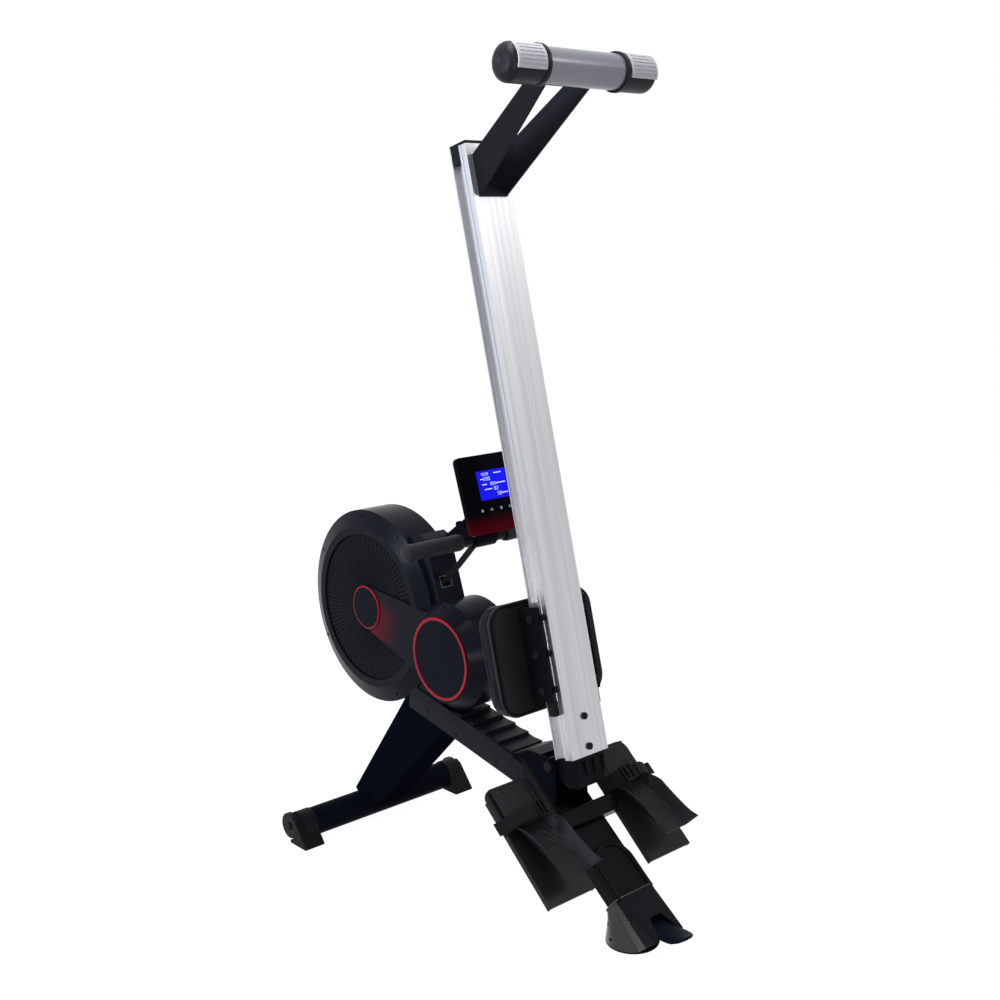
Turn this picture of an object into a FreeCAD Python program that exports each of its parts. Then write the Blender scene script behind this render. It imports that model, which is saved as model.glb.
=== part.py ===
import FreeCAD, Part
import math
import os

# Folding rowing machine, in millimetres, folded for storage.
# +X points to the rower's end, +Z is up, and Y is across the machine.
# The origin is on the floor under the middle of the round boot at the foot of the post.

V = FreeCAD.Vector
X_AXIS = V(1, 0, 0)
Y_AXIS = V(0, 1, 0)
Z_AXIS = V(0, 0, 1)

# ---- driving sizes ----------------------------------------------------------------------

# fits
JOINT_GAP = 0.3            # between pieces on different bodies
PIN_GAP = 0.05             # radial, pin in its running bore

# rail: an aluminium section with a roller channel in each side
RAIL_LENGTH = 1235.0
RAIL_WIDTH = 100.0
RAIL_DEPTH = 50.0
RAIL_WALL = 3.0
RAIL_CHANNEL_DEPTH = 14.0
RAIL_CHANNEL_LOW = 20.0    # from the rail's lower face to the channel
RAIL_BEAD = 1.2            # bright rib that stands out along the channel's lower lip
RAIL_BEAD_WIDTH = 6.0
RAIL_LEAN = 12.887         # degrees off vertical while folded
RAIL_X = -110.6            # lower end of the face that is underneath in use
RAIL_Z = 360.7

# fold hinge
HINGE_X = -183.0
HINGE_Z = 328.0
HINGE_PIN_RADIUS = 8.0
HINGE_EAR_RADIUS = 16.0
HINGE_BOSS_RADIUS = 17.0
HINGE_PLATE = 4.0
HINGE_NUT_RADIUS = 11.0
HINGE_NUT_HEIGHT = 6.0

# cast block between the rail and the hinge
BLOCK_TONGUE = 95.0
BLOCK_DROP = 62.0
BLOCK_HALF_WIDTH = 36.0
RAIL_BOLT_PLACES = (17.2, 78.8)
BOLT_RADIUS = 4.0
BOLT_HEAD_RADIUS = 7.2
BOLT_HEAD_HEIGHT = 3.6
BOLT_TIP = -34.0

# main beam: steel tube that slopes down to the hinge, with plastic covers
BEAM_X = -675.0
BEAM_Z = 347.0
BEAM_DROP = 12.0           # degrees
BEAM_WIDTH = 84.0
BEAM_LOW = 3.0
BEAM_HIGH = 46.0
BEAM_WALL = 3.0
BEAM_LEAD = 20.0           # how far it reaches forward of its reference point
BEAM_END_X = -262.0        # where the beam meets the post
COVER_WALL = 2.4
COVER_STANDOFF = 4.2       # least, from the beam's side to the cover's inner face
COVER_EDGE_GAP = 0.1       # between the cover's upper edge and the stepped cover
COVER_LOW = -2.0
COVER_BEND = 27.0
COVER_TOP = 52.0
COVER_TAPER = 3.4
COVER_START = 30.0
COVER_SEAM_LOW = 155.0
COVER_SEAM_HIGH = 201.0
COVER_SEAM_GAP = 0.8
STEP_COUNT = 5
STEP_PITCH = 42.8
STEP_LAST = 371.7
STEP_HIGH = 58.6
STEP_LOW = 51.0
STEP_HALF_WIDTH = 42.7
HOOD_HIGH_X = -249.0
HOOD_HIGH_Z = 343.0
HOOD_END_X = -214.0
HOOD_WALL = 4.0

# front foot and leg
FOOT_TUBE_RADIUS = 33.2
FOOT_TUBE_WALL = 2.5
FRONT_FOOT_X = -850.0
FRONT_FOOT_Z = 37.6
FOOT_BLOCK_OUTER = 252.0
FOOT_BLOCK_LENGTH = 52.3
FOOT_WHEEL_RECESS = 17.0   # room for the wheel beside the sleeve
FOOT_SLEEVE_WALL = 2.0
FOOT_END_WALL = 3.0
WHEEL_X = -869.0
WHEEL_Z = 37.0
WHEEL_RADIUS = 30.5
WHEEL_WIDTH = 13.0
WHEEL_ROOM = 1.2
WHEEL_AXLE_RADIUS = 6.0
WHEEL_CAP_RADIUS = 10.0
WHEEL_CAP_HEIGHT = 2.5
LEG_HALF_WIDTH = 41.0
LEG_WALL = 4.0
LEG_LOW = 50.0
LEG_FRONT_OFFSET = -939.0  # front edge: x = slope * z + offset
LEG_FRONT_SLOPE = 0.77
LEG_REAR_OFFSET = -847.0
LEG_REAR_SLOPE = 1.02

# rear post and boot
POST_X = 10.6              # a point on the post's upper face, at its lower end
POST_Z = 103.5
POST_SLOPE = 39.6
POST_WIDTH = 100.0
POST_DEPTH = 40.0
POST_WALL = 4.0
POST_EDGE = 8.0            # outer radius along the post's four edges
HOOP_RADIUS = 5.5
HOOP_LENGTH = 70.4
SLOT_START_X = -150.0      # the post's upper wall is open above this, for the block
BOOT_RADIUS = 54.0
BOOT_WALL = 3.0
BOOT_SOLE = 4.0
BOOT_COLLAR = 1.6
BOOT_TAIL_X = 94.0
BOOT_TAIL_TOP = 56.0       # height of the tail's end, upper edge
BOOT_TAIL_LOW = 44.0       # and lower edge
BOOT_NOTCH_X = 63.0        # the tail is open between its sides from here on
BOOT_TAIL_HALF = 37.0

# release pedal and its latch rod
PEDAL_PIVOT_X = 18.0
PEDAL_PIVOT_Z = 62.0
PEDAL_PIN_RADIUS = 5.0
PEDAL_HALF_WIDTH = 32.0
PEDAL_CLEARANCE = 1.0
PEDAL_THICKNESS = 9.0
PEDAL_TIP_X = 147.0
PEDAL_TIP_Z = 62.0
PEDAL_HUB_RADIUS = 11.0
LATCH_ROD_RADIUS = 5.0
LATCH_ROD_START = -190.0   # along the post from its lower end
LATCH_ROD_END = 16.0
LATCH_GUIDES = (-124.0, -24.0)
LATCH_ROD_DEPTH = 20.0     # below the post's upper face
LATCH_HEAD = 26.0

# foot rest, in the plane of the foot plates
FOOTREST_X = -22.0
FOOTREST_Z = 134.0
FOOTREST_SLOPE = 42.3
PLATE_INNER = 80.0
PLATE_OUTER = 200.0
PLATE_LENGTH = 260.0
PLATE_THICKNESS = 6.0
PLATE_CORNER = 22.0        # at the toe end
PLATE_FLANGE = 12.0        # depth of the folded long sides
PLATE_FOLD = 3.0
CROSSBAR_LOW = 124.0
CROSSBAR_HIGH = 160.0
CROSSBAR_RISE = 9.0
ARM_TUBE_HALF = 16.0
ARM_TUBE_DEPTH = 20.0
ARM_TUBE_END = 188.0
FOOTBED_MARGIN = 12.0
FOOTBED_THICKNESS = 6.0
FOOTBED_TOP = 258.0
FOOTBED_HEEL = 30.0
HEEL_CUP_HEIGHT = 62.0
HEEL_CUP_WALL = 4.0
HEEL_CUP_FRONT = 140.0
HEEL_CUP_FRONT_HEIGHT = 10.0
STRAP_PLACE = 176.5
STRAP_WIDTH = 30.0
STRAP_THICKNESS = 2.5
STRAP_RISE = 36.0
BUCKLE_WIDTH = 38.0
BUCKLE_TURN = 12.0         # round the strap's arch, towards the post
BUCKLE_LENGTH = 26.0
BUCKLE_THICKNESS = 5.0

# flywheel housing
DISC_X = -778.0
DISC_Z = 549.5
DISC_RADIUS = 226.5
DISC_FACE_RADIUS = 190.0
DISC_RISE = 15.0           # the face stands out past the rim by this much
DISC_RECESS_RADIUS = 172.0
DISC_RECESS = 4.0
HOUSING_HALF = 45.0
HOUSING_WALL = 3.0
VENT_WALL = 2.0
VENT_SEAT = 7.0
BOSS_RADIUS = 51.0
BOSS_HEIGHT = 1.5
BADGE_MARGIN = 4.0
BADGE_THICKNESS = 2.0
DRUM_X = -494.0
DRUM_Z = 490.5
DRUM_RADIUS = 119.0
DRUM_FACE_RADIUS = 97.0
DRUM_RISE = 28.0
NECK_HALF = 36.0
NECK_FOOT_X = -536.0
NECK_FOOT_Z = 600.0
NECK_LEAN = 17.6
NECK_HEIGHT = 142.0
NECK_BACK_X = -655.0
SADDLE_START = 20.0        # the part that stands on the beam, along the beam
SADDLE_END = 135.0
SADDLE_TOP = 100.0
OUTLET_ALONG = 44.0        # up the neck's front face
OUTLET_MIDDLE = -6.0
OUTLET_HALF_WIDTH = 13.5
OUTLET_HALF_HEIGHT = 11.0
OUTLET_RIM = 2.2
OUTLET_PROUD = 1.5
DISC_SCREWS = (96, 58, 20, -66, -150, 150)
DISC_SCREW_RADIUS = 213.0
DRUM_SCREWS = (94, 31, -39, -120)
DRUM_SCREW_RADIUS = 112.0
COVER_SCREWS = ((93, 14), (197, 8), (330, 14))   # along the beam, square to it

# drive inside the housing
WHEEL_PLATE_FOOT = (-640.0, 386.0)   # lower ends of the plates that carry the shafts
DRUM_PLATE_FOOT = (-575.0, 372.0)
FLYWHEEL_RADIUS = 160.0
FLYWHEEL_HALF = 14.0
FLYWHEEL_WEB = 4.0
FLYWHEEL_RIM = 34.0
FLYWHEEL_HUB = 26.0
SHEAVE_RADIUS = 22.0
SHEAVE_HALF = 5.6
SHAFT_RADIUS = 8.5
PULLEY_RADIUS = 84.0
PULLEY_PLACE = 24.5        # the belt's plane, from the machine's middle
DRIVE_PLATE_PLACE = 31.0
DRIVE_PLATE = 3.5
DRIVE_PLATE_EAR = 22.0
BELT_THICKNESS = 2.4
BELT_HALF = 5.0
SPOOL_RADIUS = 30.0
SPOOL_FLANGE = 44.0
SPOOL_HALF = 17.0

# handle
HANDLE_X = -428.0
HANDLE_Z = 757.5
HANDLE_HALF = 208.0
HANDLE_RADIUS = 12.5
GRIP_RADIUS = 17.5
GRIP_START = 60.0
GRIP_END = 6.0             # cap past the tube's end
HUB_HALF = 28.0
HUB_RADIUS = 18.5
PULL_STRAP_HALF = 12.0
PULL_STRAP_THICKNESS = 2.0
PULL_STRAP_TAIL = 24.0     # how far it reaches into the housing

# console and its arm
CONSOLE_X = -355.0
CONSOLE_Z = 784.0
CONSOLE_LEAN = 16.8
CONSOLE_HALF = 88.0
CONSOLE_HEIGHT = 164.0
CONSOLE_DEPTH = 26.0
CONSOLE_RIM = 11.0         # depth of the full-size front part
CONSOLE_INSET = 14.0       # how much smaller the back is, all round
CONSOLE_CORNER = 11.0
CONSOLE_WALL = 2.5
SCREEN_MIDDLE = -3.0
SCREEN_HALF = 39.5
SCREEN_LOW = 69.0
SCREEN_HIGH = 130.0
SCREEN_DEPTH = 4.0
KEY_COUNT = 5
KEY_SPACING = 25.4
KEY_MIDDLE = 4.0
KEY_UP = 48.0
KEY_HALF = 5.0
KEY_DEPTH = 4.0
KEY_PROUD = 1.2
TILT_BACK = 41.0
TILT_UP = 70.0
TILT_RADIUS = 13.0
TILT_PIN_RADIUS = 4.0
TILT_KNUCKLE_HALF = 13.0
ARM_TOP_X = -469.0
ARM_TOP_Z = 792.0
ARM_RISE = 34.0
ARM_DEPTH = 20.0
ARM_HALF = 19.0
ARM_BACK = 145.0
ARM_FRONT = 30.0
EAR_THICKNESS = 5.0
CRADLE_WALL = 5.0
CRADLE_ALONG = 6.0
CRADLE_RUNG = 6.0
HANDLE_PULL_DROP = 18.0    # degrees below level that the handle leaves its cradle
CRADLE_INNER = 32.0
CRADLE_OUTER = 40.0

# rear foot, at the rail's far end
REAR_TUBE_ALONG = 1286.3
REAR_TUBE_OUT = 282.5
REAR_TUBE_HALF = 172.0
REAR_CAP_RADIUS = 35.2
REAR_CAP_HALF = 182.0
REAR_CAP_START = 96.0
REAR_COLLAR_RADIUS = 37.4
REAR_COLLAR_WIDTH = 9.0
REAR_PAD_START = 108.0
REAR_PAD_END = 176.0
REAR_PAD_PROUD = 3.0
REAR_PAD_FROM = -20.0
REAR_PAD_TO = 58.0
REAR_PAD_GROOVES = 6
BRACKET_HALF = 36.0
BRACKET_SPLAY = 5.1        # degrees that each arm leans outwards
BRACKET_SHEET = 4.0
BRACKET_LOW = 1129.0
BRACKET_HIGH = 1213.0
BRACKET_TIP_SHORT = 12.5   # arm tips end this far before the tube's middle
BRACKET_TIP_ABOVE = 30.6
BRACKET_TIP_BELOW = 13.3
END_CAP = 6.0

# seat and carriage, placed by their distance along the rail
SEAT_LOW = 97.0
SEAT_HIGH = 327.0
SEAT_HALF = 144.0
SEAT_CORNER = 42.0
SEAT_UNDERSIDE = 76.0      # from the rail's lower face to the cushion's rim
SEAT_BOARD = 6.0
SEAT_BOARD_INSET = 11.0
CUSHION_THICKNESS = 38.0
CARRIAGE_LOW = 122.0
CARRIAGE_HIGH = 313.0
CARRIAGE_INNER = 62.0
CARRIAGE_SHEET = 4.0
CARRIAGE_OUT = -8.0
ROLLER_PLACES = (145.0, 217.5, 290.0)
ROLLER_RADIUS = 13.0
ROLLER_WIDTH = 10.5
ROLLER_BORE = 5.0
AXLE_HEAD_HEIGHT = 5.0
AXLE_HEAD_RADIUS = 8.0
GUIDE_RADIUS = 6.0
GUIDE_OUT = 8.0
STOP_LOW = 92.0
TOP_STOP_LOW = 1202.0

SCREW_RADIUS = 4.2
SCREW_HEIGHT = 1.6

# ---- values that follow from them --------------------------------------------------------

RAIL_HALF = RAIL_WIDTH / 2
CHANNEL_WEB = RAIL_HALF - RAIL_CHANNEL_DEPTH
CHANNEL_TOP = RAIL_DEPTH - RAIL_WALL
ROLLER_OUT = -(RAIL_CHANNEL_LOW + CHANNEL_TOP) / 2
BEAM_HALF = BEAM_WIDTH / 2
# the side cover clears the beam, and its upper edge clears the stepped cover
COVER_FACE = max(BEAM_HALF + COVER_STANDOFF, STEP_HALF_WIDTH + COVER_EDGE_GAP + COVER_TAPER)
FOOT_BLOCK_INNER = FOOT_BLOCK_OUTER - FOOT_BLOCK_LENGTH
FOOT_SLEEVE_END = FOOT_BLOCK_OUTER - FOOT_WHEEL_RECESS
POST_HALF = POST_WIDTH / 2
PLATE_MIDDLE = (PLATE_INNER + PLATE_OUTER) / 2
CARRIAGE_OUTER = CARRIAGE_INNER + CARRIAGE_SHEET
DISC_CENTRE = (DISC_X, DISC_Z)
DRUM_CENTRE = (DRUM_X, DRUM_Z)
DISC_FACE = HOUSING_HALF + DISC_RISE
DRUM_FACE = HOUSING_HALF + DRUM_RISE

os.makedirs("parts", exist_ok=True)


# ---- shapes that many pieces use ---------------------------------------------------------

def block(x0, x1, y0, y1, z0, z1):
    """Box between two opposite corners."""
    return Part.makeBox(x1 - x0, y1 - y0, z1 - z0, V(x0, y0, z0))


def rod(start, end, radius):
    """Round bar from one point to another."""
    axis = V(*end) - V(*start)
    return Part.makeCylinder(radius, axis.Length, V(*start), axis)


def bar(x, z, radius, y0, y1):
    """Round bar across the machine, from y0 to y1."""
    return Part.makeCylinder(radius, y1 - y0, V(x, y0, z), Y_AXIS)


def cone(x, z, radius0, radius1, y0, y1):
    """Round taper across the machine, from radius0 at y0 to radius1 at y1."""
    return Part.makeCone(radius0, radius1, y1 - y0, V(x, y0, z), Y_AXIS)


def slab(outline, y0, y1):
    """Flat piece: an outline of (x, z) points pulled across from y0 to y1."""
    points = [V(x, y0, z) for x, z in outline]
    face = Part.Face(Part.makePolygon(points + points[:1]))
    return face.extrude(V(0, y1 - y0, 0))


def slab_up(outline, z0, z1):
    """Flat piece: an outline of (x, y) points pulled up from z0 to z1."""
    points = [V(x, y, z0) for x, y in outline]
    face = Part.Face(Part.makePolygon(points + points[:1]))
    return face.extrude(V(0, 0, z1 - z0))


def slab_along(outline, x0, x1):
    """Long piece: an outline of (y, z) points pulled along from x0 to x1."""
    points = [V(x0, y, z) for y, z in outline]
    face = Part.Face(Part.makePolygon(points + points[:1]))
    return face.extrude(V(x1 - x0, 0, 0))


def link(x0, z0, radius0, x1, z1, radius1, y0, y1):
    """Flat link: two round ends and the straight sides that touch both."""
    reach = math.hypot(x1 - x0, z1 - z0)
    aim = math.atan2(z1 - z0, x1 - x0)
    spread = math.acos((radius0 - radius1) / reach)
    upper = (math.cos(aim + spread), math.sin(aim + spread))
    lower = (math.cos(aim - spread), math.sin(aim - spread))
    sides = [
        (x0 + radius0 * upper[0], z0 + radius0 * upper[1]),
        (x0 + radius0 * lower[0], z0 + radius0 * lower[1]),
        (x1 + radius1 * lower[0], z1 + radius1 * lower[1]),
        (x1 + radius1 * upper[0], z1 + radius1 * upper[1]),
    ]
    ends = bar(x0, z0, radius0, y0, y1).fuse(bar(x1, z1, radius1, y0, y1))
    return ends.fuse(slab(sides, y0, y1)).removeSplitter()


def soften(shape, radius, direction):
    """Round every straight edge that runs in one direction."""
    chosen = []
    for edge in shape.Edges:
        if edge.Curve.TypeId != "Part::GeomLine":
            continue
        run = edge.Vertexes[1].Point - edge.Vertexes[0].Point
        if run.cross(direction).Length < 1e-6 * run.Length:
            chosen.append(edge)
    return shape.makeFillet(radius, chosen)


def placed(shape, x, z, degrees):
    """Turn a shape about Y and carry its origin to (x, z)."""
    moved = shape.copy()
    moved.rotate(V(0, 0, 0), Y_AXIS, degrees)
    moved.translate(V(x, 0, z))
    return moved


def on_rail(shape):
    """X is out of the rail's lower face, Z is along the rail from its lower end."""
    return placed(shape, RAIL_X, RAIL_Z, -RAIL_LEAN)


def on_beam(shape):
    """X is down along the beam, Z is square to it."""
    return placed(shape, BEAM_X, BEAM_Z, BEAM_DROP)


def on_post(shape):
    """X is down along the post's upper face, Z stands out of it."""
    return placed(shape, POST_X, POST_Z, POST_SLOPE)


def on_footrest(shape):
    """X is down towards the heel, Z stands out of the foot plates."""
    return placed(shape, FOOTREST_X, FOOTREST_Z, FOOTREST_SLOPE)


def on_console(shape):
    """X is out of the console's face, Z is up the face."""
    return placed(shape, CONSOLE_X, CONSOLE_Z, -CONSOLE_LEAN)


def mirrored(shape):
    """The same piece on the machine's other side."""
    return shape.mirror(V(0, 0, 0), Y_AXIS)


def pair(shape):
    """A piece and its twin on the other side."""
    return [shape, mirrored(shape)]


def write(name, *shapes):
    """Save one node: every solid of the shapes given."""
    solids = []
    for shape in shapes:
        solids.extend(shape.Solids)
    whole = solids[0] if len(solids) == 1 else Part.makeCompound(solids)
    whole.exportStep("parts/" + name + ".step")
    print(name, len(solids), "solids", round(sum(s.Volume for s in solids) / 1000, 1), "cm3",
          "ok" if all(s.isValid() for s in solids) else "INVALID")


# ---- front foot and transport wheels -----------------------------------------------------

def front_foot():
    """Cross tube, a moulded foot block on each end of it, and the wheels the blocks carry."""
    tube_end = FOOT_SLEEVE_END - FOOT_END_WALL
    outside = bar(FRONT_FOOT_X, FRONT_FOOT_Z, FOOT_TUBE_RADIUS, -tube_end, tube_end)
    inside = bar(FRONT_FOOT_X, FRONT_FOOT_Z, FOOT_TUBE_RADIUS - FOOT_TUBE_WALL, -tube_end, tube_end)
    write("front_foot_tube", outside.cut(inside))

    # the block: a sleeve over the tube, and a leg that leans back down to its sole
    side = [
        (WHEEL_X + 11, 0), (WHEEL_X + 74, 0), (WHEEL_X + 74, 5), (WHEEL_X + 32, 58),
        (WHEEL_X + 19, 65), (WHEEL_X + 3, WHEEL_Z + WHEEL_RADIUS), (WHEEL_X, WHEEL_Z),
    ]
    sleeve_radius = FOOT_TUBE_RADIUS + FOOT_SLEEVE_WALL
    sleeve = bar(FRONT_FOOT_X, FRONT_FOOT_Z, sleeve_radius, FOOT_BLOCK_INNER, FOOT_SLEEVE_END)
    shoe = slab(side, FOOT_BLOCK_INNER, FOOT_BLOCK_OUTER).fuse(sleeve)
    shoe = shoe.cut([
        bar(FRONT_FOOT_X, FRONT_FOOT_Z, FOOT_TUBE_RADIUS, FOOT_BLOCK_INNER - 1, tube_end),
        bar(WHEEL_X, WHEEL_Z, WHEEL_RADIUS + WHEEL_ROOM, FOOT_SLEEVE_END, FOOT_BLOCK_OUTER + 1),
    ])
    # stub axle with a cap, moulded with the block
    wheel_start = FOOT_SLEEVE_END + JOINT_GAP
    wheel_end = wheel_start + WHEEL_WIDTH
    cap_start = wheel_end + JOINT_GAP
    stub = bar(WHEEL_X, WHEEL_Z, WHEEL_AXLE_RADIUS, FOOT_SLEEVE_END - 1, cap_start)
    cap = bar(WHEEL_X, WHEEL_Z, WHEEL_CAP_RADIUS, cap_start, cap_start + WHEEL_CAP_HEIGHT)
    shoe = shoe.fuse([stub, cap]).removeSplitter()
    write("front_feet", *pair(shoe))

    wheel = bar(WHEEL_X, WHEEL_Z, WHEEL_RADIUS, wheel_start, wheel_end)
    rims = [e for e in wheel.Edges if e.Curve.TypeId == "Part::GeomCircle"]
    wheel = wheel.makeFillet(2.0, rims)
    wheel = wheel.cut(bar(WHEEL_X, WHEEL_Z, WHEEL_AXLE_RADIUS + PIN_GAP, 0, FOOT_BLOCK_OUTER))
    write("transport_wheel_right", wheel)
    write("transport_wheel_left", mirrored(wheel))


def leg_outline(inset):
    """The leg's side view, from the foot tube up to the beam's underside."""
    drop = math.tan(math.radians(BEAM_DROP))
    knee = LEG_LOW + 16
    front_low = LEG_FRONT_SLOPE * knee + LEG_FRONT_OFFSET + inset
    rear_low = LEG_REAR_SLOPE * knee + LEG_REAR_OFFSET - inset
    reach = 40 if inset else 0
    underside = BEAM_Z + BEAM_LOW / math.cos(math.radians(BEAM_DROP)) + drop * BEAM_X
    front_z = (underside - drop * LEG_FRONT_OFFSET) / (1 + drop * LEG_FRONT_SLOPE) + reach
    rear_z = (underside - drop * LEG_REAR_OFFSET) / (1 + drop * LEG_REAR_SLOPE) + reach
    return [
        (front_low + 16, LEG_LOW + inset), (rear_low - 16, LEG_LOW + inset),
        (rear_low, knee),
        (LEG_REAR_SLOPE * rear_z + LEG_REAR_OFFSET - inset, rear_z),
        (LEG_FRONT_SLOPE * front_z + LEG_FRONT_OFFSET + inset, front_z),
        (front_low, knee),
    ]


def front_leg():
    """Folded-sheet leg, open at the top where the beam closes it, saddled on the foot tube."""
    outside = slab(leg_outline(0), -LEG_HALF_WIDTH, LEG_HALF_WIDTH)
    inside = slab(leg_outline(LEG_WALL), LEG_WALL - LEG_HALF_WIDTH, LEG_HALF_WIDTH - LEG_WALL)
    tube = bar(FRONT_FOOT_X, FRONT_FOOT_Z, FOOT_TUBE_RADIUS, -LEG_HALF_WIDTH - 1, LEG_HALF_WIDTH + 1)
    write("front_leg", outside.cut(inside).cut(tube))


# ---- main beam with the plates welded to it, and its covers ------------------------------

def drive_plates():
    """Steel plates that stand on the beam and carry the two shafts of the drive."""
    face = DRIVE_PLATE_PLACE + DRIVE_PLATE
    ear = DRIVE_PLATE_EAR
    below = on_beam(block(-200, 700, -100, 100, -200, BEAM_HIGH))
    plates = []
    for shaft, foot in ((DISC_CENTRE, WHEEL_PLATE_FOOT), (DRUM_CENTRE, DRUM_PLATE_FOOT)):
        plate = link(*shaft, ear, *foot, ear, DRIVE_PLATE_PLACE, face)
        plates += pair(plate.cut([below, bar(*shaft, SHAFT_RADIUS, 0, face + 1)]))
    return plates


def hinge_plate():
    """One of the two plates beside the beam's end, with an ear round the hinge pin."""
    right = HINGE_X + HINGE_EAR_RADIUS
    outline = [
        (BEAM_END_X - 36, HINGE_Z - 48), (BEAM_END_X - 36, HINGE_Z - 13),
        (HOOD_HIGH_X, HINGE_Z + HINGE_EAR_RADIUS), (HINGE_X, HINGE_Z + HINGE_EAR_RADIUS),
        (HINGE_X, HINGE_Z), (right, HINGE_Z), (right, HINGE_Z - 78), (HINGE_X - 30, HINGE_Z - 84),
        (BEAM_END_X, HINGE_Z - 44),
    ]
    plate = slab(outline, BEAM_HALF, BEAM_HALF + HINGE_PLATE)
    ear = bar(HINGE_X, HINGE_Z, HINGE_EAR_RADIUS, BEAM_HALF, BEAM_HALF + HINGE_PLATE)
    hole = bar(HINGE_X, HINGE_Z, HINGE_PIN_RADIUS + PIN_GAP, 0, 2 * BEAM_HALF)
    return plate.fuse(ear).removeSplitter().cut(hole)


def main_beam():
    """Sloping beam with its welded plates: the drive plates above and the hinge plates at its lower end."""
    length = (BEAM_END_X - BEAM_X) / math.cos(math.radians(BEAM_DROP)) + BEAM_LEAD
    outside = block(-BEAM_LEAD, length, -BEAM_HALF, BEAM_HALF, BEAM_LOW, BEAM_HIGH)
    inside = block(-BEAM_LEAD - 1, length + 1, BEAM_WALL - BEAM_HALF, BEAM_HALF - BEAM_WALL,
                   BEAM_LOW + BEAM_WALL, BEAM_HIGH - BEAM_WALL)
    tube = on_beam(outside.cut(inside))
    beyond = block(BEAM_END_X, BEAM_END_X + 200, -100, 100, 0, 600)
    tube = tube.cut(beyond)

    write("main_beam", tube, *(pair(hinge_plate()) + drive_plates()))

    # hinge pin with a button head on each side
    length = BEAM_HALF + HINGE_PLATE
    pin = bar(HINGE_X, HINGE_Z, HINGE_PIN_RADIUS, -length, length)
    heads = pair(bar(HINGE_X, HINGE_Z, HINGE_NUT_RADIUS, length, length + HINGE_NUT_HEIGHT))
    write("hinge_pin", pin.fuse(heads).removeSplitter())


def cover_profile(grow):
    """The side cover's section: upright below, leaning in above."""
    face = COVER_FACE + grow
    return [(face, COVER_LOW), (face, COVER_BEND), (face - COVER_TAPER, COVER_TOP)]


def beam_covers():
    """Moulded side covers in three lengths and the stepped cover on top of the beam."""
    end = (BEAM_END_X - BEAM_X) / math.cos(math.radians(BEAM_DROP)) + 30
    wall = cover_profile(COVER_WALL) + cover_profile(0)[::-1]
    cover = slab_along(wall, COVER_START, end)
    seam = [
        (COVER_SEAM_LOW, COVER_LOW - 1), (COVER_SEAM_LOW + COVER_SEAM_GAP, COVER_LOW - 1),
        (COVER_SEAM_HIGH + COVER_SEAM_GAP, COVER_TOP + 1), (COVER_SEAM_HIGH, COVER_TOP + 1),
    ]
    cover = on_beam(cover.cut(slab(seam, 0, 2 * COVER_FACE)))
    beyond = block(BEAM_END_X - JOINT_GAP, BEAM_END_X + 200, -100, 100, 0, 600)
    cover = cover.cut([beyond, housing_mass(0), hinge_plate()])
    write("beam_side_covers", *pair(cover))

    # stepped top cover: shallow treads that fall towards the rower
    treads = []
    for k in range(STEP_COUNT):
        tip = STEP_LAST - (STEP_COUNT - 1 - k) * STEP_PITCH
        treads.append((tip - STEP_PITCH + 2, STEP_LOW))
        treads.append((tip, STEP_HIGH))
    outline = [(treads[0][0], BEAM_HIGH)] + treads + [(STEP_LAST + 2, STEP_LOW), (STEP_LAST + 2, BEAM_HIGH)]
    steps = on_beam(slab(outline, -STEP_HALF_WIDTH, STEP_HALF_WIDTH))
    # the last stretch rises between the hinge plates and shields the hinge
    last_x = BEAM_X + (STEP_LAST + 2) * math.cos(math.radians(BEAM_DROP))
    last_z = BEAM_Z - (STEP_LAST + 2) * math.sin(math.radians(BEAM_DROP))
    top_z = last_z + STEP_LOW / math.cos(math.radians(BEAM_DROP))
    foot_z = last_z + BEAM_HIGH / math.cos(math.radians(BEAM_DROP))
    foot_x = last_x + BEAM_HIGH * math.sin(math.radians(BEAM_DROP))
    hood = [
        (foot_x - 4, foot_z), (foot_x - 4, top_z), (HOOD_HIGH_X, HOOD_HIGH_Z), (HOOD_END_X, HOOD_HIGH_Z),
        (HOOD_END_X, HOOD_HIGH_Z - HOOD_WALL), (HOOD_HIGH_X, HOOD_HIGH_Z - HOOD_WALL),
    ]
    width = BEAM_HALF - JOINT_GAP
    cap = slab(hood, -width, width)
    write("beam_step_cover", steps.fuse(cap).removeSplitter())


# ---- rear post, boot, pedal and latch ----------------------------------------------------

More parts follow.
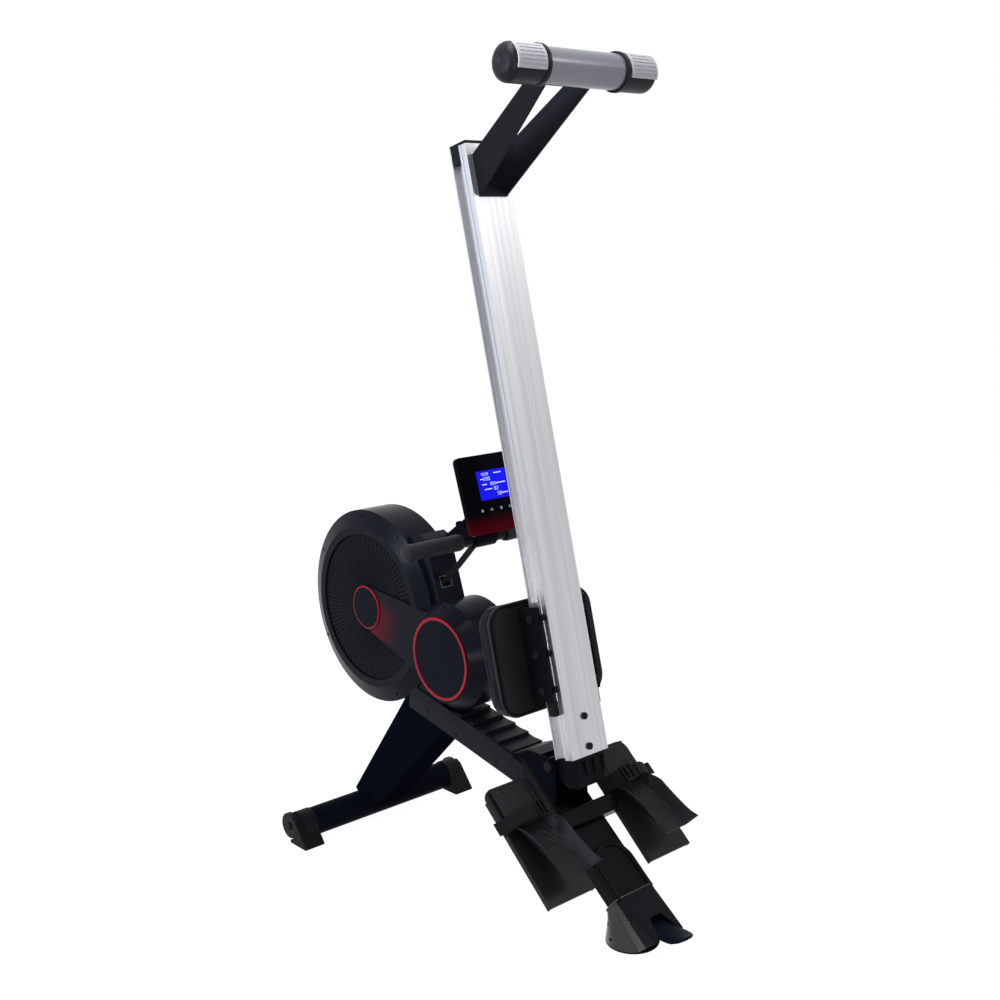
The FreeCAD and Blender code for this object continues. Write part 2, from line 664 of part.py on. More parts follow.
def rear_post():
    """Rectangular tube from the beam down to the boot, with a slot for the hinge block and a pressed bead."""
    length = (POST_X - BEAM_END_X) / math.cos(math.radians(POST_SLOPE)) + POST_DEPTH
    outside = soften(block(-length, 0, -POST_HALF, POST_HALF, -POST_DEPTH, 0), POST_EDGE, X_AXIS)
    inside = block(-length - 1, 1, POST_WALL - POST_HALF, POST_HALF - POST_WALL,
                   POST_WALL - POST_DEPTH, -POST_WALL)
    post = on_post(outside.cut(inside))
    beyond = block(-900, BEAM_END_X, -100, 100, 0, 900)
    post = post.cut(beyond)
    mouth = POST_HALF - POST_WALL
    slot = block(-700, SLOT_START_X, -mouth, mouth, POST_Z + 20, 900)
    lining = on_post(block(-length, 0, -mouth, mouth, -POST_WALL - 1, 1))
    post = post.cut(slot.common(lining))
    # two plates inside carry the latch rod
    for place in LATCH_GUIDES:
        guide = block(place, place + POST_WALL, -mouth, mouth, POST_WALL - POST_DEPTH, -POST_WALL)
        bore = rod((place - 1, 0, -LATCH_ROD_DEPTH), (place + POST_WALL + 1, 0, -LATCH_ROD_DEPTH),
                   LATCH_ROD_RADIUS + PIN_GAP)
        post = post.fuse(on_post(guide.cut(bore)))

    # rounded bead pressed up from the post's upper face, shaped like a hoop
    reach = POST_HALF - HOOP_RADIUS
    legs = pair(rod((-2, reach, 0), (-HOOP_LENGTH, reach, 0), HOOP_RADIUS))
    ring = Part.makeTorus(reach, HOOP_RADIUS, V(-HOOP_LENGTH, 0, 0), Z_AXIS)
    far_half = block(-HOOP_LENGTH - POST_WIDTH, -HOOP_LENGTH, -POST_WIDTH, POST_WIDTH, -9, 9)
    hoop = ring.common(far_half).fuse(legs)
    raised = block(-length, 0, -POST_WIDTH, POST_WIDTH, -POST_WALL, 2 * HOOP_RADIUS)
    post = post.fuse(on_post(hoop.common(raised))).removeSplitter()
    write("rear_post", post)


def boot_skin(grow):
    """The boot's outer or inner skin, from a round base to the post's section."""
    radius = BOOT_RADIUS + grow
    half = POST_HALF + BOOT_COLLAR + BOOT_WALL + grow
    depth = POST_DEPTH + 2 * BOOT_COLLAR + BOOT_WALL + grow
    rise = BOOT_COLLAR + BOOT_WALL + grow
    base = Part.Wire(Part.makeCircle(radius, V(0, 0, BOOT_SOLE), Z_AXIS))
    corners = [V(-6, -half, rise), V(-6, half, rise), V(-6, half, -depth), V(-6, -half, -depth)]
    frame = Part.makePolygon(corners + corners[:1])
    frame.rotate(V(0, 0, 0), Y_AXIS, POST_SLOPE)
    frame.translate(V(POST_X, 0, POST_Z))
    return Part.makeLoft([base, Part.Wire(frame.Edges)], True, True)


def boot():
    """Moulded boot in two halves, with a tail over the pedal, its sole and the pedal pin."""
    top_x = POST_X
    top_z = POST_Z + BOOT_COLLAR + BOOT_WALL
    tail = [
        (-10, BOOT_SOLE), (BOOT_RADIUS - 12, BOOT_SOLE), (BOOT_RADIUS - 9, 10), (BOOT_TAIL_X, BOOT_TAIL_LOW),
        (BOOT_TAIL_X, BOOT_TAIL_TOP), (top_x, top_z), (-10, top_z - 12),
    ]
    tail_half = BOOT_TAIL_HALF
    outside = boot_skin(0).fuse(slab(tail, -tail_half, tail_half))
    inner_tail = [
        (-14, BOOT_SOLE), (BOOT_RADIUS - 14, BOOT_SOLE), (BOOT_RADIUS - 4, 9), (BOOT_TAIL_X + 2, 39),
        (BOOT_TAIL_X + 2, BOOT_TAIL_TOP - 5), (top_x, top_z - 4), (-14, top_z - 16),
    ]
    inside = slab(inner_tail, BOOT_WALL - tail_half, tail_half - BOOT_WALL)
    hollow = boot_skin(-BOOT_WALL).fuse(inside)
    shell = outside.cut(hollow)
    # the pedal's way out: between the tail's two sides and down the back of the round base
    gap = PEDAL_HALF_WIDTH + PEDAL_CLEARANCE
    shell = shell.cut([
        block(BOOT_NOTCH_X, 200, -gap, gap, BOOT_SOLE, 200),
        block(BOOT_RADIUS - 18, 200, -gap, gap, BOOT_SOLE, PEDAL_PIVOT_Z),
    ])
    post_space = on_post(block(-300, 2, -POST_HALF, POST_HALF, -POST_DEPTH, 2 * HOOP_RADIUS))
    keep_low = block(-200, 200, -200, 200, BOOT_SOLE, 300)
    shell = shell.common(keep_low)
    shell = shell.cut(post_space)
    # bosses that carry the pedal's pin
    boss_out = tail_half
    boss = bar(PEDAL_PIVOT_X, PEDAL_PIVOT_Z, 2 * PEDAL_PIN_RADIUS, PEDAL_HALF_WIDTH + JOINT_GAP, boss_out)
    shell = shell.fuse(pair(boss))
    shell = shell.cut(bar(PEDAL_PIVOT_X, PEDAL_PIVOT_Z, PEDAL_PIN_RADIUS, -tail_half + 1, tail_half - 1))
    right = shell.common(block(-200, 200, 0, 200, 0, 300))
    write("boot_shells", *pair(right))

    sole = Part.makeCylinder(BOOT_RADIUS, BOOT_SOLE, V(0, 0, 0), Z_AXIS)
    sole = sole.makeFillet(1.5, [e for e in sole.Edges if e.BoundBox.ZMax < 0.1])
    write("boot_sole", sole)
    write("pedal_pin", bar(PEDAL_PIVOT_X, PEDAL_PIVOT_Z, PEDAL_PIN_RADIUS, -tail_half + 1, tail_half - 1))


def pedal():
    """Foot-operated release: a curved tongue that swings down on a pin inside the boot."""
    low = PEDAL_TIP_Z - PEDAL_THICKNESS
    tongue = [
        (PEDAL_PIVOT_X, PEDAL_PIVOT_Z - 8), (PEDAL_PIVOT_X + 45, low), (PEDAL_TIP_X - 34, low - 3),
        (PEDAL_TIP_X - 12, low + 2), (PEDAL_TIP_X, low + 7), (PEDAL_TIP_X - 2, PEDAL_TIP_Z + 4),
        (PEDAL_TIP_X - 24, PEDAL_TIP_Z - 2), (PEDAL_PIVOT_X + 45, PEDAL_TIP_Z),
        (PEDAL_PIVOT_X, PEDAL_PIVOT_Z + 8),
    ]
    plate = slab(tongue, -PEDAL_HALF_WIDTH, PEDAL_HALF_WIDTH)
    tip = [e for e in plate.Edges if e.BoundBox.XMin > PEDAL_TIP_X - 3 and e.BoundBox.YLength > 10]
    plate = plate.makeFillet(1.5, tip)
    hub = bar(PEDAL_PIVOT_X, PEDAL_PIVOT_Z, PEDAL_HUB_RADIUS, -PEDAL_HALF_WIDTH, PEDAL_HALF_WIDTH)
    hole = bar(PEDAL_PIVOT_X, PEDAL_PIVOT_Z, PEDAL_PIN_RADIUS + PIN_GAP, -60, 60)
    # round the free end in plan
    round_end = 30
    plan = Part.makeCylinder(PEDAL_HALF_WIDTH, 200, V(PEDAL_TIP_X - PEDAL_HALF_WIDTH, 0, -50), Z_AXIS)
    plan = plan.fuse(block(-60, PEDAL_TIP_X - round_end, -PEDAL_HALF_WIDTH, PEDAL_HALF_WIDTH, -50, 150))
    write("release_pedal", plate.fuse(hub).removeSplitter().common(plan).cut(hole))


def latch():
    """Rod inside the post that the pedal draws down, with a wedge-shaped head."""
    start = LATCH_ROD_START
    depth = LATCH_ROD_DEPTH
    shaft = rod((start, 0, -depth), (LATCH_ROD_END, 0, -depth), LATCH_ROD_RADIUS)
    head = slab([
        (start - LATCH_HEAD, -depth - 8), (start + 6, -depth - 8), (start + 6, -depth + 8),
        (start - LATCH_HEAD + 8, -depth + 8),
    ], -14, 14)
    write("latch_rod", on_post(shaft.fuse(head).removeSplitter()))


# ---- foot rest ---------------------------------------------------------------------------

def footrest():
    """Crossbar, foot plates, sliding foot beds, instep straps and their buckles."""
    band = block(-CROSSBAR_HIGH, -CROSSBAR_LOW, -PLATE_INNER, PLATE_INNER, -PLATE_THICKNESS, CROSSBAR_RISE)
    band = soften(band, 3.0, Y_AXIS)
    saddle = on_post(block(-700, 200, -POST_HALF, POST_HALF, -POST_DEPTH, 0))
    saddle.rotate(V(FOOTREST_X, 0, FOOTREST_Z), Y_AXIS, -FOOTREST_SLOPE)
    saddle.translate(V(-FOOTREST_X, 0, -FOOTREST_Z))
    band = band.cut(saddle)
    middle = (CROSSBAR_LOW + CROSSBAR_HIGH) / 2
    stub = block(-middle - ARM_TUBE_HALF, -middle + ARM_TUBE_HALF, POST_HALF, ARM_TUBE_END,
                 -PLATE_THICKNESS - ARM_TUBE_DEPTH, -PLATE_THICKNESS)
    write("footrest_crossbar", *[on_footrest(s) for s in [band] + pair(stub)])

    plate = block(-PLATE_LENGTH, 0, PLATE_INNER, PLATE_OUTER, -PLATE_THICKNESS, 0)
    plate = soften(plate, PLATE_CORNER, Z_AXIS)
    plate = plate.fuse([
        block(-PLATE_LENGTH / 2, 0, PLATE_INNER, PLATE_OUTER, -PLATE_THICKNESS, 0),
        block(PLATE_CORNER - PLATE_LENGTH, 0, PLATE_INNER, PLATE_INNER + PLATE_FOLD, -PLATE_FLANGE, 0),
        block(PLATE_CORNER - PLATE_LENGTH, 0, PLATE_OUTER - PLATE_FOLD, PLATE_OUTER, -PLATE_FLANGE, 0),
    ])
    plate = plate.cut(stub).removeSplitter()
    write("foot_plates", *[on_footrest(s) for s in pair(plate)])

    inner = PLATE_INNER + FOOTBED_MARGIN
    outer = PLATE_OUTER - FOOTBED_MARGIN
    low = JOINT_GAP
    high = low + FOOTBED_THICKNESS
    bed = block(-FOOTBED_TOP, -FOOTBED_HEEL, inner, outer, low, high)
    bed = soften(bed, 24.0, Z_AXIS)
    # heel cup: a wall round the heel that falls away towards the instep
    cup_half = (outer - inner) / 2
    ring_x = -FOOTBED_HEEL - cup_half
    outline_out = Part.makeCylinder(cup_half, HEEL_CUP_HEIGHT, V(ring_x, PLATE_MIDDLE, low), Z_AXIS)
    outline_out = outline_out.fuse(block(-HEEL_CUP_FRONT, ring_x, inner, outer, low, low + HEEL_CUP_HEIGHT))
    wall = HEEL_CUP_WALL
    deep = 2 * HEEL_CUP_HEIGHT
    outline_in = Part.makeCylinder(cup_half - wall, deep, V(ring_x, PLATE_MIDDLE, low - 1), Z_AXIS)
    inner_box = block(-HEEL_CUP_FRONT - 1, ring_x, inner + wall, outer - wall, low - 1, deep)
    cup = outline_out.cut(outline_in.fuse(inner_box))
    slope = [
        (-HEEL_CUP_FRONT - 1, low + HEEL_CUP_FRONT_HEIGHT), (ring_x + 10, low + HEEL_CUP_HEIGHT),
        (ring_x + 10, 3 * HEEL_CUP_HEIGHT), (-HEEL_CUP_FRONT - 1, 3 * HEEL_CUP_HEIGHT),
    ]
    cup = cup.cut(slab(slope, 0, 2 * PLATE_OUTER))
    footbed = bed.fuse(cup).removeSplitter()
    write("footbed_right", on_footrest(footbed))
    write("footbed_left", on_footrest(mirrored(footbed)))

    # webbing strap: legs against the plate's edges and an arch over the instep
    half = (PLATE_OUTER - PLATE_INNER) / 2 + JOINT_GAP
    spring = 4.0
    rise = STRAP_RISE - spring
    thick = STRAP_THICKNESS
    start = V(-STRAP_PLACE - STRAP_WIDTH / 2, 0, 0)
    band = []
    for grow in (thick, 0):
        reach = half + grow
        low_left = V(0, PLATE_MIDDLE - reach, -PLATE_THICKNESS)
        left = V(0, PLATE_MIDDLE - reach, spring)
        top = V(0, PLATE_MIDDLE, spring + rise + grow)
        right = V(0, PLATE_MIDDLE + reach, spring)
        low_right = V(0, PLATE_MIDDLE + reach, -PLATE_THICKNESS)
        edges = [
            Part.LineSegment(low_left, left).toShape(), Part.Arc(left, top, right).toShape(),
            Part.LineSegment(right, low_right).toShape(), Part.LineSegment(low_right, low_left).toShape(),
        ]
        face = Part.Face(Part.Wire(edges))
        band.append(face.extrude(V(STRAP_WIDTH, 0, 0)))
    strap = band[0].cut(band[1])
    strap.translate(start)
    write("foot_straps", *[on_footrest(s) for s in pair(strap)])

    # ladder-lock buckle on the arch, on the side nearer the post
    reach = half + thick
    radius = (reach ** 2 + (rise + thick) ** 2) / (2 * (rise + thick))
    centre_z = spring + rise + thick - radius
    buckle = block(-STRAP_PLACE - BUCKLE_WIDTH / 2, -STRAP_PLACE + BUCKLE_WIDTH / 2,
                   PLATE_MIDDLE - BUCKLE_LENGTH / 2, PLATE_MIDDLE + BUCKLE_LENGTH / 2,
                   centre_z + radius, centre_z + radius + BUCKLE_THICKNESS)
    window = block(-STRAP_PLACE - BUCKLE_WIDTH / 2 + 5, -STRAP_PLACE + BUCKLE_WIDTH / 2 - 5,
                   PLATE_MIDDLE - 3, PLATE_MIDDLE + 3, centre_z + radius - 1, centre_z + radius + 9)
    buckle = soften(buckle, 3.0, Z_AXIS)
    for shift in (-6, 6):
        opening = window.copy()
        opening.translate(V(0, shift, 0))
        buckle = buckle.cut(opening)
    buckle.rotate(V(0, PLATE_MIDDLE, centre_z), V(1, 0, 0), BUCKLE_TURN)
    write("strap_buckles", *[on_footrest(s) for s in pair(buckle)])


# ---- flywheel housing --------------------------------------------------------------------

def neck_outline(shrink):
    """Side view of the neck that rises between the big disc and the drum."""
    lean = math.radians(NECK_LEAN)
    front_x = NECK_FOOT_X - NECK_HEIGHT * math.sin(lean)
    front_z = NECK_FOOT_Z + NECK_HEIGHT * math.cos(lean)
    return [
        (NECK_FOOT_X - shrink, NECK_FOOT_Z - 30), (NECK_FOOT_X - shrink, NECK_FOOT_Z),
        (front_x - shrink, front_z - shrink), (front_x - 24, front_z + 9 - shrink),
        (NECK_BACK_X, front_z - 6 - shrink), (NECK_BACK_X, NECK_FOOT_Z - 30),
    ]


def on_neck(shape):
    """X is out of the neck's front face, Z is up it."""
    return placed(shape, NECK_FOOT_X, NECK_FOOT_Z, -NECK_LEAN)


def housing_mass(shrink):
    """One side of the housing as a solid mass, from the middle plane outwards."""
    half = HOUSING_HALF - shrink
    body = bar(DISC_X, DISC_Z, DISC_RADIUS - shrink, 0, half)
    body = body.fuse(bar(DRUM_X, DRUM_Z, DRUM_RADIUS - shrink, 0, half))
    disc_cone = cone(DISC_X, DISC_Z, DISC_RADIUS - shrink, DISC_FACE_RADIUS - shrink,
                     half, DISC_FACE - shrink)
    drum_cone = cone(DRUM_X, DRUM_Z, DRUM_RADIUS - shrink, DRUM_FACE_RADIUS - shrink,
                     half, DRUM_FACE - shrink)
    neck = slab(neck_outline(shrink), 0, NECK_HALF - shrink)
    saddle = on_beam(block(SADDLE_START + shrink, SADDLE_END - shrink, 0, BEAM_HALF - shrink,
                           BEAM_HIGH, SADDLE_TOP))
    return body.fuse([disc_cone, drum_cone, neck, saddle])


def console_arm_body():
    """The arm that rises out of the neck and carries the console."""
    rise = math.radians(ARM_RISE)
    along = (math.cos(rise), math.sin(rise))
    square = (math.sin(rise), -math.cos(rise))
    back = (ARM_TOP_X - ARM_BACK * along[0], ARM_TOP_Z - ARM_BACK * along[1])
    front = (ARM_TOP_X + ARM_FRONT * along[0], ARM_TOP_Z + ARM_FRONT * along[1])
    return slab([
        back, front,
        (front[0] + ARM_DEPTH * square[0], front[1] + ARM_DEPTH * square[1]),
        (back[0] + ARM_DEPTH * square[0], back[1] + ARM_DEPTH * square[1]),
    ], -ARM_HALF, ARM_HALF)


def strap_outlet(grow):
    """A rectangular opening through the neck's front face."""
    half_width = OUTLET_HALF_WIDTH + grow
    half_height = OUTLET_HALF_HEIGHT + grow
    return on_neck(block(-HOUSING_WALL - 2, OUTLET_PROUD,
                         OUTLET_MIDDLE - half_width, OUTLET_MIDDLE + half_width,
                         OUTLET_ALONG - half_height, OUTLET_ALONG + half_height))


def housing():
    """Two moulded half shells that meet at the middle plane, and what closes them."""
    wall = HOUSING_WALL
    recess_floor = DISC_FACE - DISC_RECESS
    shell = housing_mass(0).cut(housing_mass(wall))
    guard = bar(DRUM_X, DRUM_Z, DRUM_RADIUS, 0, DISC_FACE + 9)
    window = bar(DISC_X, DISC_Z, DISC_RECESS_RADIUS, DISC_FACE - 2 * wall, DISC_FACE + 1)
    shell = shell.cut(window.cut(guard))
    # the lip that the vent disc sits on
    lip_low = recess_floor - VENT_WALL - 2
    lip = bar(DISC_X, DISC_Z, DISC_RECESS_RADIUS + 3, lip_low, DISC_FACE - wall + 0.5)
    lip = lip.cut(bar(DISC_X, DISC_Z, DISC_RECESS_RADIUS, lip_low + 2, DISC_FACE))
    lip = lip.cut(bar(DISC_X, DISC_Z, DISC_RECESS_RADIUS - VENT_SEAT, lip_low - 1, DISC_FACE))
    inner_drum = bar(DRUM_X, DRUM_Z, DRUM_RADIUS - wall, 0, DISC_FACE)
    shell = shell.fuse(lip.cut(inner_drum))
    # a shallow band runs from the boss to the drum
    band = link(DRUM_X, DRUM_Z, DRUM_FACE_RADIUS - 12, DISC_X, DISC_Z, BOSS_RADIUS, recess_floor, DISC_FACE)
    hollow_drum = cone(DRUM_X, DRUM_Z, DRUM_RADIUS - wall, DRUM_FACE_RADIUS - wall,
                       HOUSING_HALF - wall, DRUM_FACE - wall)
    boss = bar(DISC_X, DISC_Z, BOSS_RADIUS, recess_floor, DISC_FACE + BOSS_HEIGHT)
    shell = shell.fuse([band.cut(hollow_drum), boss])
    # room for the beam, the leg, the arm and, off the middle, the strap's outlet
    beam_room = on_beam(block(-60, 700, -BEAM_HALF, BEAM_HALF, -80, BEAM_HIGH))
    leg_room = slab(leg_outline(0), -LEG_HALF_WIDTH, LEG_HALF_WIDTH)
    shell = shell.cut([beam_room, leg_room, console_arm_body()])
    shell = max(shell.Solids, key=lambda s: s.Volume)
    outlet = strap_outlet(OUTLET_RIM)
    write("housing_right", shell.cut(outlet))
    write("housing_left", mirrored(shell).cut(outlet))

    vent = bar(DISC_X, DISC_Z, DISC_RECESS_RADIUS - JOINT_GAP, recess_floor - VENT_WALL, recess_floor)
    vent = vent.cut(cone(DRUM_X, DRUM_Z, DRUM_RADIUS + JOINT_GAP, DRUM_FACE_RADIUS + JOINT_GAP,
                         HOUSING_HALF, DRUM_FACE))
    write("vent_discs", *pair(vent))

    drum_badge = bar(DRUM_X, DRUM_Z, DRUM_FACE_RADIUS - BADGE_MARGIN, DRUM_FACE, DRUM_FACE + BADGE_THICKNESS)
    boss_face = DISC_FACE + BOSS_HEIGHT
    boss_badge = bar(DISC_X, DISC_Z, BOSS_RADIUS - BADGE_MARGIN, boss_face, boss_face + BADGE_THICKNESS)
    write("badge_caps", *(pair(drum_badge) + pair(boss_badge)))

    bezel = strap_outlet(OUTLET_RIM).cut(strap_outlet(0))
    rim = on_neck(block(-0.1, OUTLET_PROUD + 2, -100, 100, -200, 200))
    bezel = bezel.cut(rim.common(strap_outlet(0)))
    write("strap_outlet", bezel)


def screw_on_taper(centre, outer, inner, rise, radius, degrees):
    """A screw head that sits square on a tapered ring of the housing."""
    away = V(math.cos(math.radians(degrees)), 0, math.sin(math.radians(degrees)))
    height = HOUSING_HALF + rise * (outer - radius) / (outer - inner)
    seat = V(centre[0], height, centre[1]) + away * radius
    square = away * rise + Y_AXIS * (outer - inner)
    return Part.makeCylinder(SCREW_RADIUS, SCREW_HEIGHT, seat, square)


def screw_heads():
    """Screws of the housing and the beam covers, heads just proud."""
    heads = []
    for degrees in DISC_SCREWS:
        heads += pair(screw_on_taper(DISC_CENTRE, DISC_RADIUS, DISC_FACE_RADIUS, DISC_RISE,
                                     DISC_SCREW_RADIUS, degrees))
    for degrees in DRUM_SCREWS:
        heads += pair(screw_on_taper(DRUM_CENTRE, DRUM_RADIUS, DRUM_FACE_RADIUS, DRUM_RISE,
                                     DRUM_SCREW_RADIUS, degrees))
    cover_face = COVER_FACE + COVER_WALL
    for along, up in COVER_SCREWS:
        head = rod((along, cover_face, up), (along, cover_face + SCREW_HEIGHT, up), SCREW_RADIUS)
        heads += pair(on_beam(head))
    write("cover_screws", *heads)


# ---- drive inside the housing ------------------------------------------------------------

def drive():
    """Flywheel, pulley, strap spool, their shafts and the belt between them."""
    bore = SHAFT_RADIUS + PIN_GAP
    rim = bar(DISC_X, DISC_Z, FLYWHEEL_RADIUS, -FLYWHEEL_HALF, FLYWHEEL_HALF)
    rim = rim.cut(bar(DISC_X, DISC_Z, FLYWHEEL_RADIUS - FLYWHEEL_RIM, -FLYWHEEL_HALF - 1, FLYWHEEL_HALF + 1))
    web = bar(DISC_X, DISC_Z, FLYWHEEL_RADIUS - FLYWHEEL_RIM + 1, -FLYWHEEL_WEB, FLYWHEEL_WEB)
    hub = bar(DISC_X, DISC_Z, FLYWHEEL_HUB, -FLYWHEEL_HALF - 3, FLYWHEEL_HALF)
    sheave_start = PULLEY_PLACE - SHEAVE_HALF
    sheave = bar(DISC_X, DISC_Z, SHEAVE_RADIUS, FLYWHEEL_HALF, PULLEY_PLACE + SHEAVE_HALF)
    wheel = rim.fuse([web, hub, sheave])
    wheel = wheel.cut(bar(DISC_X, DISC_Z, bore, -60, 60)).removeSplitter()
    write("flywheel", wheel)

    plate_face = DRIVE_PLATE_PLACE + DRIVE_PLATE
    shafts = [bar(DISC_X, DISC_Z, SHAFT_RADIUS, -plate_face, plate_face),
              bar(DRUM_X, DRUM_Z, SHAFT_RADIUS, -plate_face, plate_face)]
    write("drive_shafts", *shafts)

    pulley = bar(DRUM_X, DRUM_Z, PULLEY_RADIUS, sheave_start, PULLEY_PLACE + SHEAVE_HALF)
    pulley = pulley.cut(bar(DRUM_X, DRUM_Z, bore, -60, 60))
    write("drive_pulley", pulley)

    spool_half = min(SPOOL_HALF, sheave_start - JOINT_GAP)
    spool = bar(DRUM_X, DRUM_Z, SPOOL_RADIUS, -spool_half, spool_half)
    flange = bar(DRUM_X, DRUM_Z, SPOOL_FLANGE, spool_half - 2, spool_half)
    spool = spool.fuse(pair(flange)).cut(bar(DRUM_X, DRUM_Z, bore, -60, 60)).removeSplitter()
    write("strap_spool", spool)

    # grooved belt, running a hair's breadth off the two wheels
    gap = JOINT_GAP
    low = PULLEY_PLACE - BELT_HALF
    high = PULLEY_PLACE + BELT_HALF
    outer = link(DRUM_X, DRUM_Z, PULLEY_RADIUS + gap + BELT_THICKNESS,
                 DISC_X, DISC_Z, SHEAVE_RADIUS + gap + BELT_THICKNESS, low, high)
    inner = link(DRUM_X, DRUM_Z, PULLEY_RADIUS + gap, DISC_X, DISC_Z, SHEAVE_RADIUS + gap, low - 1, high + 1)
    write("drive_belt", outer.cut(inner))


# ---- console -----------------------------------------------------------------------------

def console_point(out, up):
    """(x, z) of a place given by its distance out of the console's face and up it."""
    lean = math.radians(CONSOLE_LEAN)
    x = CONSOLE_X + out * math.cos(lean) - up * math.sin(lean)
    z = CONSOLE_Z + out * math.sin(lean) + up * math.cos(lean)
    return x, z


def console():
    """Tilting case with its screen and five keys."""
    depth = CONSOLE_DEPTH
    half = CONSOLE_HALF
    wall = CONSOLE_WALL
    inset = CONSOLE_INSET
    across = V(1, 0, 0)
    front = soften(block(-CONSOLE_RIM, 0, -half, half, 0, CONSOLE_HEIGHT), CONSOLE_CORNER, across)
    back = block(-depth, -CONSOLE_RIM, inset - half, half - inset, inset, CONSOLE_HEIGHT - inset)
    case = front.fuse(soften(back, CONSOLE_CORNER, across))
    front = block(wall - CONSOLE_RIM, -wall, wall - half, half - wall, wall, CONSOLE_HEIGHT - wall)
    inset += wall
    back = block(wall - depth, wall - CONSOLE_RIM, inset - half, half - inset, inset, CONSOLE_HEIGHT - inset)
    corner = CONSOLE_CORNER - wall
    case = case.cut(soften(front, corner, across).fuse(soften(back, corner, across)))
    gap = JOINT_GAP
    left = SCREEN_MIDDLE - SCREEN_HALF
    right = SCREEN_MIDDLE + SCREEN_HALF
    case = case.cut(block(-SCREEN_DEPTH, 1, left - gap, right + gap, SCREEN_LOW - gap, SCREEN_HIGH + gap))
    screen = block(-SCREEN_DEPTH, -gap, left, right, SCREEN_LOW, SCREEN_HIGH)
    knuckle = link(4 - depth, TILT_UP, TILT_RADIUS + 3, -TILT_BACK, TILT_UP, TILT_RADIUS,
                   -TILT_KNUCKLE_HALF, TILT_KNUCKLE_HALF)
    knuckle = knuckle.cut(block(-depth + 1, 50, -50, 50, 0, 200))
    pin_hole = bar(-TILT_BACK, TILT_UP, TILT_PIN_RADIUS + PIN_GAP, -50, 50)
    case = case.fuse(knuckle).removeSplitter().cut(pin_hole)
    for k in range(KEY_COUNT):
        y = KEY_MIDDLE + (k - (KEY_COUNT - 1) / 2) * KEY_SPACING
        hole = block(-KEY_DEPTH - 1, 1, y - KEY_HALF - gap, y + KEY_HALF + gap,
                     KEY_UP - KEY_HALF - gap, KEY_UP + KEY_HALF + gap)
        case = case.cut(hole)
        key = block(-KEY_DEPTH, KEY_PROUD, y - KEY_HALF, y + KEY_HALF, KEY_UP - KEY_HALF, KEY_UP + KEY_HALF)
        key = soften(key, 1.5, V(1, 0, 0))
        write("console_key_" + str(k + 1), on_console(key))
    write("console_housing", on_console(case))
    write("console_screen", on_console(screen))

    # arm with two ears round the tilt pin, and the cradle that the handle rests in
    tilt_x, tilt_z = console_point(-TILT_BACK, TILT_UP)
    rise = math.radians(ARM_RISE)
    end_x = ARM_TOP_X + (ARM_FRONT - 12) * math.cos(rise) + ARM_DEPTH / 2 * math.sin(rise)
    end_z = ARM_TOP_Z + (ARM_FRONT - 12) * math.sin(rise) - ARM_DEPTH / 2 * math.cos(rise)
    ear_start = TILT_KNUCKLE_HALF + gap
    ear = link(tilt_x, tilt_z, TILT_RADIUS, end_x, end_z, ARM_DEPTH / 2, ear_start, ear_start + EAR_THICKNESS)
    pin = bar(tilt_x, tilt_z, TILT_PIN_RADIUS, -ear_start - 1, ear_start + 1)
    rung_x = ARM_TOP_X + CRADLE_ALONG * math.cos(rise) + ARM_DEPTH / 2 * math.sin(rise)
    rung_z = ARM_TOP_Z + CRADLE_ALONG * math.sin(rise) - ARM_DEPTH / 2 * math.cos(rise)
    rung = bar(rung_x, rung_z, CRADLE_RUNG, -CRADLE_OUTER, CRADLE_OUTER)
    hook = link(HANDLE_X, HANDLE_Z, HANDLE_RADIUS + gap + CRADLE_WALL, rung_x, rung_z, CRADLE_RUNG + 2,
                CRADLE_INNER, CRADLE_OUTER)
    hook = hook.cut(bar(HANDLE_X, HANDLE_Z, HANDLE_RADIUS + gap, 0, 100))
    mouth = placed(block(-2, 90, -100, 100, -90, 90), HANDLE_X, HANDLE_Z, HANDLE_PULL_DROP)
    hook = hook.cut(mouth)
    arm = console_arm_body().fuse(pair(ear) + [pin, rung] + pair(hook)).removeSplitter()
    write("console_arm", arm)


# ---- handle ------------------------------------------------------------------------------

